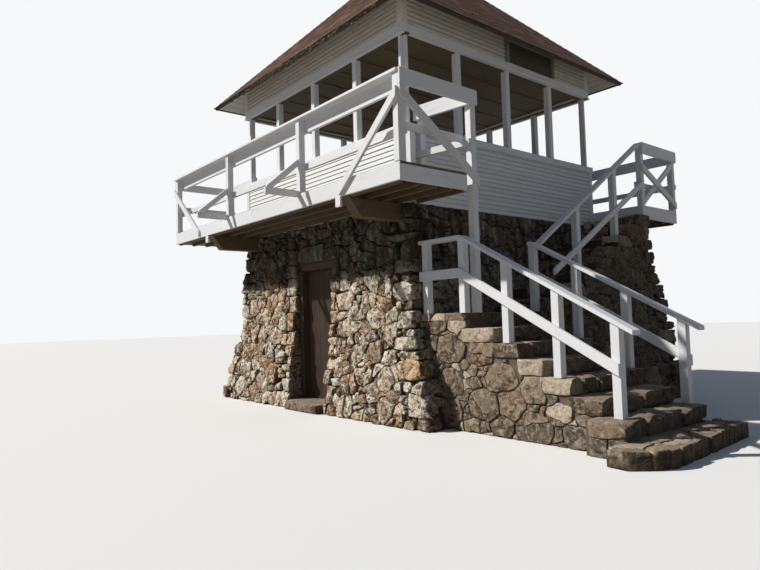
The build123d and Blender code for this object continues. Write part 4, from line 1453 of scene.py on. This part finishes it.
def slab(pile, cell, place, thick):
    """A thin flat plate with the outline of a cell. place takes s, up and lift."""
    count = len(cell)
    points = [place(s, up, 0.0) for s, up in cell] + [place(s, up, thick) for s, up in cell]
    faces = tube_faces(count, 2)
    a, b, c, below = [np.array(points[i]) for i in (count, count + 1, count + 2, 0)]
    if np.dot(np.cross(b - a, c - a), a - below) < 0:
        faces = [face[::-1] for face in faces]
    shift = far_shift()
    grains = [(s + shift[0], up + shift[1], shift[2]) for s, up in cell] * 2
    pile.add(points, faces, rng.random(), grains)


def shingle_rows(pile, side):
    """Rows of shingle tabs of uneven width, each tipped up over the row below it."""
    rows = 29
    exposure = slope_length / rows
    for row in range(rows):
        up0 = row * exposure
        half = roof_half - up0 * slope_run
        start = -half - rng.uniform(0.0, 0.3)
        while start < half:
            width = rng.uniform(0.08, 0.22)
            low = up0 + rng.uniform(-0.006, 0.004)
            top = min(up0 + exposure + 0.06, slope_length)
            low += rng.uniform(0.004, 0.02) if row == 0 else 0.0
            cell = square(start + 0.002, start + width - 0.002, low, top)
            cell = clip(cell, slope_run, slope_run * slope_run, roof_half * slope_run)
            if len(cell) > 2:
                cell = clip(cell, -slope_run, slope_run * slope_run, roof_half * slope_run)
            if len(cell) > 2 and area(cell) > 0.0008:
                def place(s, up, lift):
                    return on_slope(side, s, up, lift - 0.012 + 0.008 * (1 - (up - up0) / 0.19))
                slab(pile, cell, place, 0.006)
            start += width


def slopes():
    """Soffit boards, a core and shingles on the four slopes."""
    sheathing = Pile()
    pitch_width = 0.098
    for side, name in enumerate(side_names):
        boards = Pile()
        tabs = Pile()
        for row in range(7):
            up = 0.045 + row * pitch_width
            slope_board(boards, side, up, up + pitch_width - 0.004, -0.063, -0.044, 0.002)
        slope_board(sheathing, side, 0.016, 0.044, -0.062, -0.044, 0.003)
        low, top = roof_half - 0.03, slope_length - 0.03
        outline = [(-low, 0.015), (low, 0.015), (0.01, top), (-0.01, top)]
        timber(sheathing, *[[on_slope(side, s, up, lift) for s, up in outline] for lift in (-0.043, -0.012)],
               chamfer=0.002, bow=0)
        shingle_rows(tabs, side)
        boards.finish(f"roof_boards_{name}", soffit_paint, "siding", (f"roof_{name}",))
        tabs.finish(f"roof_shingles_{name}", shingle, "shingle")
    # The eave edge boards are near black: painted shadow under the drip edge.
    sheathing.finish("roof_sheathing", eave_shadow_wood, "deck_wood")


def tuft(pile, middle, sizes):
    """A small uneven clump: rings between two end points."""
    sides = 7
    rings = ((-0.65, 0.7), (-0.15, 1.0), (0.35, 0.9), (0.75, 0.55))
    offsets = [(0.0, 0.0, -1.0)]
    for level, width in rings:
        for i in range(sides):
            angle = 2 * math.pi * (i + 0.5 * rng.random()) / sides
            reach = width * rng.uniform(0.6, 1.1)
            height = level + rng.uniform(-0.15, 0.15)
            offsets.append((math.cos(angle) * reach, math.sin(angle) * reach, height))
    offsets.append((0.0, 0.0, 1.0))
    points = [tuple(m + d * size for m, d, size in zip(middle, offset, sizes)) for offset in offsets]
    last = len(points) - 1
    faces = [[1 + i for i in face] for face in tube_faces(sides, len(rings))[2:]]
    for i in range(sides):
        after = (i + 1) % sides
        faces.append([0, 1 + after, 1 + i])
        faces.append([last - sides + i, last - sides + after, last])
    pile.add(points, faces, rng.random(), points)


def eave_clumps():
    """Moss clumps along the south eave."""
    pile = Pile()
    for _ in range(260):
        s = rng.gauss(0.1, 1.0)
        if abs(s) > 2.2:
            continue
        size = rng.uniform(0.008, 0.023)
        middle = on_slope(0, s, rng.uniform(0.0, 0.03), rng.uniform(-0.066, -0.018))
        tuft(pile, middle, (size * rng.uniform(1.0, 3.0), size, size))
    pile.finish("eave_moss", moss, "shingle", smooth=True)


def hip_caps():
    """Folded caps over the four hips, in rows."""
    pile = Pile()
    rows = 36
    for side in range(4):
        for row in range(rows):
            up0 = row * slope_length / rows
            up1 = min(up0 + slope_length / rows + 0.05, slope_length)
            tone = rng.random()
            if up1 >= slope_length - 0.15:
                continue
            for hand, face in ((1, side), (-1, (side + 1) % 4)):
                outline = [(hand * (roof_half - up * slope_run - inset), up, lift)
                           for up, lift, inset in ((up0, 0.004, 0.0), (up1, -0.006, 0.0),
                                                   (up1, -0.006, 0.12), (up0, 0.004, 0.12))]
                timber(pile, [on_slope(face, s, up, lift - 0.005) for s, up, lift in outline],
                       [on_slope(face, *corner) for corner in outline], chamfer=0.001, tone=tone, bow=0)
    pile.finish("roof_hip_caps", shingle, "shingle")


slopes()
eave_clumps()
hip_caps()


# Balcony

def painted(pile, node, name=None):
    """Finishes white boards that stand for one node of the model."""
    pile.finish(f"{name or node}_boards", white_paint, "white_paint", (node,))


def balcony_deck():
    """Deck boards and the joists under them."""
    pile = Pile()
    west, east = deck_west + board_thick, deck_east - board_thick
    x = deck_west + 0.002
    while x < deck_east - 0.01:
        wide = min(rng.uniform(0.135, 0.142), deck_east - 0.002 - x)
        north = deck_north if x + wide < -cab_half or x > cab_half else -cab_half
        stick(pile, x, x + wide - 0.006, deck_south + 0.017 + rng.uniform(0, 0.003), north,
              deck_bottom, floor_level, chamfer=0.003)
        x += wide
    lines = [(west, east, deck_south + board_thick + line * 0.2556666) for line in range(4)]
    lines += [(west, -cab_half, deck_north - joist), (cab_half, east, deck_north - joist)]
    for x0, x1, y in lines:
        stick(pile, x0, x1, y, y + joist, stone_top + 0.004, deck_bottom)
    pile.finish("balcony_deck_boards", deck_wood, "deck_wood", ("balcony_deck",))


def balcony_beams():
    """The two cantilever beams, cut back at their ends."""
    pile = Pile()
    back = -cab_half + 0.3
    for x in beam_places:
        x0, x1 = x - beam_half, x + beam_half
        ends = [[(x0, tip, beam_bottom), (x1, tip, beam_bottom), (x1, top, stone_top), (x0, top, stone_top)]
                for tip, top in ((deck_south + 0.19, deck_south + 0.01), (back, back))]
        timber(pile, *ends, chamfer=0.006)
    pile.finish("balcony_beam_timbers", deck_wood, "deck_wood", ("balcony_beams",))


def balcony_fascia():
    """Fascia boards round the deck, and the short hangers beside the beams."""
    pile = Pile()
    top = deck_bottom - 0.001
    for a, b in ((deck_west, -0.35), (-0.35, deck_east)):
        board_x(pile, a + 0.001, b - 0.001, deck_south, fascia_bottom, top, chamfer=0.003)
        stick(pile, a + 0.001, b - 0.001, deck_south, deck_south + 0.015, top, floor_level - 0.01,
              chamfer=0.002)
    for x in (deck_west, deck_east - board_thick):
        board_y(pile, x, deck_south + board_thick, deck_north, fascia_bottom, top)
    for x in beam_places:
        stick(pile, x - 0.19, x - 0.085, deck_south + 0.001, deck_south + board_thick,
              fascia_bottom - 0.115, fascia_bottom + 0.001)
    painted(pile, "balcony_fascia")


def balcony_south_rail():
    """Posts, cap and two boards along the front."""
    pile = Pile()
    for x in balcony_posts:
        stick(pile, x - half_post, x + half_post, deck_south, deck_south + post_size, floor_level, cap_bottom)
    for a, b in ((deck_west - 0.025, -0.12), (-0.118, deck_east)):
        stick(pile, a, b, deck_south - 0.025, deck_south + 0.115, cap_bottom, rail_top, chamfer=0.005)
        for low, high in ((cap_bottom - 0.173, cap_bottom), (mid_rail, mid_rail + mid_height)):
            board_x(pile, max(a, deck_west), b, deck_south + post_size, low, high)
    painted(pile, "balcony_rail_south")


def balcony_east_rail():
    """The tall post down to the landing, and the board from it to the corner."""
    pile = Pile()
    stick(pile, deck_east - post_size, deck_east, tall_post_y, tall_post_y + post_size,
          landing_level, rail_top - 0.005)
    board_y(pile, deck_east, deck_south, tall_post_y + post_size, board_bottom, rail_top)
    painted(pile, "balcony_rail_east")


def balcony_return():
    """Boards from the tall post back to the cab, askew, with the posts at the wall."""
    pile = Pile()
    wall_y = tall_post_y - 0.12 - board_thick
    lean = 0.12 / (deck_east - cab_half)
    x1 = cab_half + post_size
    back = wall_y + board_thick
    low = mid_rail + 0.08
    for z0, z1 in ((board_bottom, rail_top), (mid_rail + 0.03, mid_rail + 0.03 + mid_height)):
        outline = square(0, board_thick, z0, z1)
        timber(pile, *[[(x, wall_y + (x - cab_half) * lean + off, z) for off, z in outline]
                       for x in (cab_half, deck_east)])
    board_y(pile, deck_east - post_size - board_thick, deck_south + post_size + board_thick,
            tall_post_y - 0.055, low, low + mid_height)
    stick(pile, cab_half, x1, back, back + post_size, floor_level, wall_top)
    stick(pile, trim_outer, x1, back, back + post_size, wall_top, rail_top)
    stick(pile, cab_half, x1, -cab_half, -cab_half + post_size, floor_level, wall_top)
    painted(pile, "balcony_return_east", "balcony_return")


def balcony_west_rail():
    """Post and boards at the west end."""
    pile = Pile()
    top = rail_top - 0.068
    north = deck_north + post_size
    low = mid_rail + 0.08
    post(pile, deck_west, deck_north, stone_top, top)
    board_y(pile, deck_west - board_thick, deck_south, north, top - 0.133, top, bow=0)
    board_y(pile, deck_west + post_size, deck_south + post_size + board_thick, north, low, low + mid_height)
    board_x(pile, deck_west, -cab_half, deck_north - board_thick, top - 0.133, top)
    painted(pile, "balcony_rail_west")


def balcony_outriggers():
    """Arms out from the deck with braces up to the two middle posts."""
    pile = Pile()
    for x in balcony_posts[1:3]:
        x0 = x - 0.019
        stick(pile, x0, x + 0.019, deck_south - 0.5, deck_south, floor_level - 0.06, floor_level + 0.03)
        rail_y(pile, deck_south - 0.48, floor_level - 0.05, deck_south, floor_level + 0.36, 0.1, x0)
    painted(pile, "balcony_outriggers", "balcony_outrigger")


def balcony_braces():
    """Slanting boards over the railing's corners."""
    pile = Pile()
    foot = fascia_bottom + 0.005
    front = deck_south - board_thick
    rail_x(pile, deck_west, foot + 0.9, deck_west + 1.08, foot, 0.12, front)
    rail_x(pile, deck_east - 1.08, foot, deck_east, foot + 0.9, 0.12, front)
    rail_y(pile, deck_south, board_bottom - 0.12, tall_post_y + post_size, fascia_bottom + 0.06, 0.12,
           deck_east)
    painted(pile, "balcony_braces", "balcony_brace")


# Platform

def platform_deck():
    """Deck boards and joists at the head of the stairs."""
    pile = Pile()
    west, east = platform_west + board_thick, platform_east - board_thick
    x = west
    while x < east - 0.01:
        wide = min(0.14, east - x)
        south = cab_half if x + wide < cab_half else cab_half + board_thick
        stick(pile, x, x + wide - 0.005, south, platform_north - board_thick, deck_bottom, floor_level,
              chamfer=0.003)
        x += wide
    for line in range(4):
        y = cab_half + board_thick + line * 0.344
        stick(pile, west, east, y, y + joist, stone_top, deck_bottom)
    pile.finish("platform_deck_boards", deck_wood, "deck_wood", ("platform_deck",))


def platform_timbers():
    """Beams under the deck. The east one is short."""
    pile = Pile()
    end = platform_north - 2 * board_thick
    for x, y in (*((x, end) for x in platform_beams), (stair_mass_top - 0.32, 2.4)):
        stick(pile, x - beam_half, x + beam_half, cab_half - 0.3, y, beam_bottom, stone_top, chamfer=0.008)
    pile.finish("platform_beam_timbers", deck_wood, "deck_wood", ("platform_beams",))


def platform_fascia():
    """Boards round the deck's edge."""
    pile = Pile()
    east, north = platform_east - board_thick, platform_north - board_thick
    board_x(pile, cab_half, platform_east, cab_half, fascia_bottom, floor_level)
    stick(pile, east, platform_east, cab_half + board_thick, platform_north, fascia_bottom, floor_level)
    stick(pile, platform_west, east, north, platform_north, fascia_bottom, floor_level)
    board_y(pile, platform_west, cab_half, north, fascia_bottom, floor_level)
    painted(pile, "platform_fascia")


def platform_rails():
    """Posts, boards and braces on the east side, and the rails on the north and west sides."""
    east = Pile()
    top = rail_top - 0.005
    for y in (cab_half, platform_north - post_size):
        stick(east, platform_east - post_size, platform_east, y, y + post_size, floor_level, top)
    board_y(east, platform_east, cab_half, platform_north, board_bottom, rail_top)
    board_y(east, platform_east - post_size - board_thick, cab_half, platform_north,
            mid_rail, mid_rail + mid_height)
    corner = platform_north - half_post
    rail_y(east, cab_half, floor_level + 0.56, corner, floor_level + 0.03, 0.11, platform_east)
    rail_y(east, cab_half + post_size, floor_level + 0.02, corner, floor_level + 0.75, 0.11,
           platform_east - board_thick)
    painted(east, "platform_rail_east")
    north = Pile()
    stick(north, platform_west, platform_west + post_size, platform_north - post_size, platform_north,
          floor_level, top)
    for low, height in ((board_bottom, 0.181), (mid_rail + 0.07, mid_height)):
        high = low + height
        board_x(north, platform_west, platform_east, platform_north, low, high, bow=0)
        stick(north, platform_west - board_thick, platform_west, cab_half, platform_north + board_thick,
              low, high, bow=0)
    painted(north, "platform_rail_north")


# Handrails

pitch = riser / tread
rail_start = landing_edge - half_post
cap_top = 2.27
cap_thick = 0.045
mid_z = landing_level + 0.4095
near_post_y = stair_south + 0.005
far_post_y = stair_north - 0.113


def cap_level(x):
    """Top of the sloping cap above the stairs."""
    return cap_top - max(0.0, x - rail_start) * pitch


def slanted_post(pile, x, y, foot, near_top, far_top, along_x):
    """A post whose top follows the slope of the cap on it."""
    outline = square(x, x + post_size, y, y + post_size)
    tops = (near_top, far_top, far_top, near_top) if along_x else (near_top, near_top, far_top, far_top)
    timber(pile, [(*p, foot) for p in outline], [(*p, z) for p, z in zip(outline, tops)])


def lower_handrail(name, y, board_at):
    """Posts, cap and middle board of one handrail of the lower flight."""
    pile = Pile()
    near = name == "near"
    steps = (2, 4, 6)
    centres = [landing_edge + first_tread + (step - 1.5) * tread for step in steps]
    cap_foot = centres[-1] + 0.19
    mid_foot = centres[-1] + half_post
    for x in [rail_start - half_post] + ([cab_half + 0.145] if near else []):
        post(pile, x, y, landing_level, cap_top - cap_thick)
    for step, x in zip(steps, centres):
        tops = [cap_level(x + end * half_post) - cap_thick for end in (-1, 1)]
        slanted_post(pile, x - half_post, y, landing_level - step * riser, *tops, True)
    start = cab_half + 0.105 if near else rail_start - half_post
    for x0, x1 in ((start, rail_start), (rail_start, cap_foot)):
        rail_x(pile, x0, cap_top - cap_thick, x1, cap_level(x1) - cap_thick, cap_thick, y - 0.025, 0.14)
    if near:
        rail_x(pile, cab_half + 0.125, mid_z, rail_start, mid_z, 0.115, board_at)
    rail_x(pile, rail_start, mid_z, mid_foot, mid_z - (mid_foot - rail_start) * pitch, 0.115, board_at)
    painted(pile, f"{name}_handrail")


def upper_handrail():
    """Posts, cap and middle board of the upper flight."""
    pile = Pile()
    x = platform_east - post_size
    foot = far_post_y + post_size + 0.027
    slope = (rail_top - cap_top) / (cab_half - foot)
    for step in (3, 6):
        y = stair_north + (step - 0.4) * upper_tread
        top = cap_top + (y - foot) * slope - cap_thick
        half_rise = slope * half_post
        slanted_post(pile, x, y - half_post, landing_level + step * upper_riser, top - half_rise,
                     top + half_rise, False)
    rail_y(pile, foot, cap_top - cap_thick, cab_half, rail_top - cap_thick, cap_thick,
           x - 0.01, post_size + 0.02)
    rail_y(pile, foot + 0.23, mid_z + 0.06, cab_half, mid_rail, mid_height, platform_east)
    painted(pile, "upper_handrail")


balcony_deck()
balcony_beams()
balcony_fascia()
balcony_south_rail()
balcony_east_rail()
balcony_return()
balcony_west_rail()
balcony_outriggers()
balcony_braces()
platform_deck()
platform_timbers()
platform_fascia()
platform_rails()
lower_handrail("near", near_post_y, near_post_y - board_thick)
lower_handrail("far", far_post_y, far_post_y + post_size)
upper_handrail()


# Stage, light and camera

def seen_rays(tree):
    """One for rays that show the backdrop itself, straight, mirrored or through glass."""
    path = tree.nodes.new("ShaderNodeLightPath")
    rays = path.outputs["Is Camera Ray"]
    for other in ("Is Glossy Ray", "Is Transmission Ray"):
        most = tree.nodes.new("ShaderNodeMath")
        most.operation = "MAXIMUM"
        tree.links.new(rays, most.inputs[0])
        tree.links.new(path.outputs[other], most.inputs[1])
        rays = most.outputs[0]
    return rays


def stage_floor():
    """A plain pale floor that throws back only as much light as the ground would."""
    mesh = bpy.data.meshes.new("stage_floor")
    mesh.from_pydata([(x, y, 0) for x, y in square(-60, 60, -60, 60)], [], [(0, 1, 2, 3)])
    floor = bpy.data.objects.new("stage_floor", mesh)
    bpy.context.scene.collection.objects.link(floor)
    look = Look("stage_floor")
    colour = look.mix(seen_rays(look.tree), (0.27, 0.255, 0.22), (0.80, 0.80, 0.79))
    mesh.materials.append(look.finish(colour, roughness=0.9, specular=0.5))


def sun():
    """One broad sun from the south-west."""
    lamp = bpy.data.lights.new("key", "SUN")
    lamp.energy = 4.4
    lamp.color = (1.0, 0.965, 0.91)
    lamp.angle = 0.02
    key = bpy.data.objects.new("key", lamp)
    key.rotation_euler = Vector((0.80, 0.83, -1.0)).to_track_quat("-Z", "Y").to_euler()
    bpy.context.scene.collection.objects.link(key)


def sky():
    """An even blue light from all round, behind a plain pale backdrop."""
    world = bpy.data.worlds.new("studio")
    world.use_nodes = True
    tree = world.node_tree
    light = tree.nodes["Background"]
    light.inputs["Color"].default_value = (0.50, 0.68, 1.0, 1.0)
    light.inputs["Strength"].default_value = 0.14
    backdrop = tree.nodes.new("ShaderNodeBackground")
    backdrop.inputs["Color"].default_value = (0.93, 0.94, 0.95, 1.0)
    blend = tree.nodes.new("ShaderNodeMixShader")
    for socket, source in zip(blend.inputs, (seen_rays(tree), light.outputs[0], backdrop.outputs[0])):
        tree.links.new(source, socket)
    tree.links.new(blend.outputs[0], tree.nodes["World Output"].inputs["Surface"])
    bpy.context.scene.world = world


def camera():
    """The photograph's camera."""
    heading = math.radians(50.467)
    lift = math.radians(3.193)
    roll = math.radians(-1.614)
    right = Vector((math.cos(heading), math.sin(heading), 0))
    level = Vector((-math.sin(heading), math.cos(heading), 0))
    forward = level * math.cos(lift) + Vector((0, 0, math.sin(lift)))
    up = right.cross(forward)
    across = right * math.cos(roll) + up * math.sin(roll)
    above = up * math.cos(roll) - right * math.sin(roll)
    data = bpy.data.cameras.new("camera")
    data.sensor_width = 36.0
    data.lens = 29.09
    data.clip_end = 200.0
    eye = bpy.data.objects.new("camera", data)
    turn = Matrix((across, above, -forward)).transposed().to_4x4()
    eye.matrix_world = Matrix.Translation((7.8175, -7.3089, 1.3146)) @ turn
    bpy.context.scene.collection.objects.link(eye)
    bpy.context.scene.camera = eye


stage_floor()
sun()
sky()
camera()
bpy.context.scene.view_settings.view_transform = "Standard"
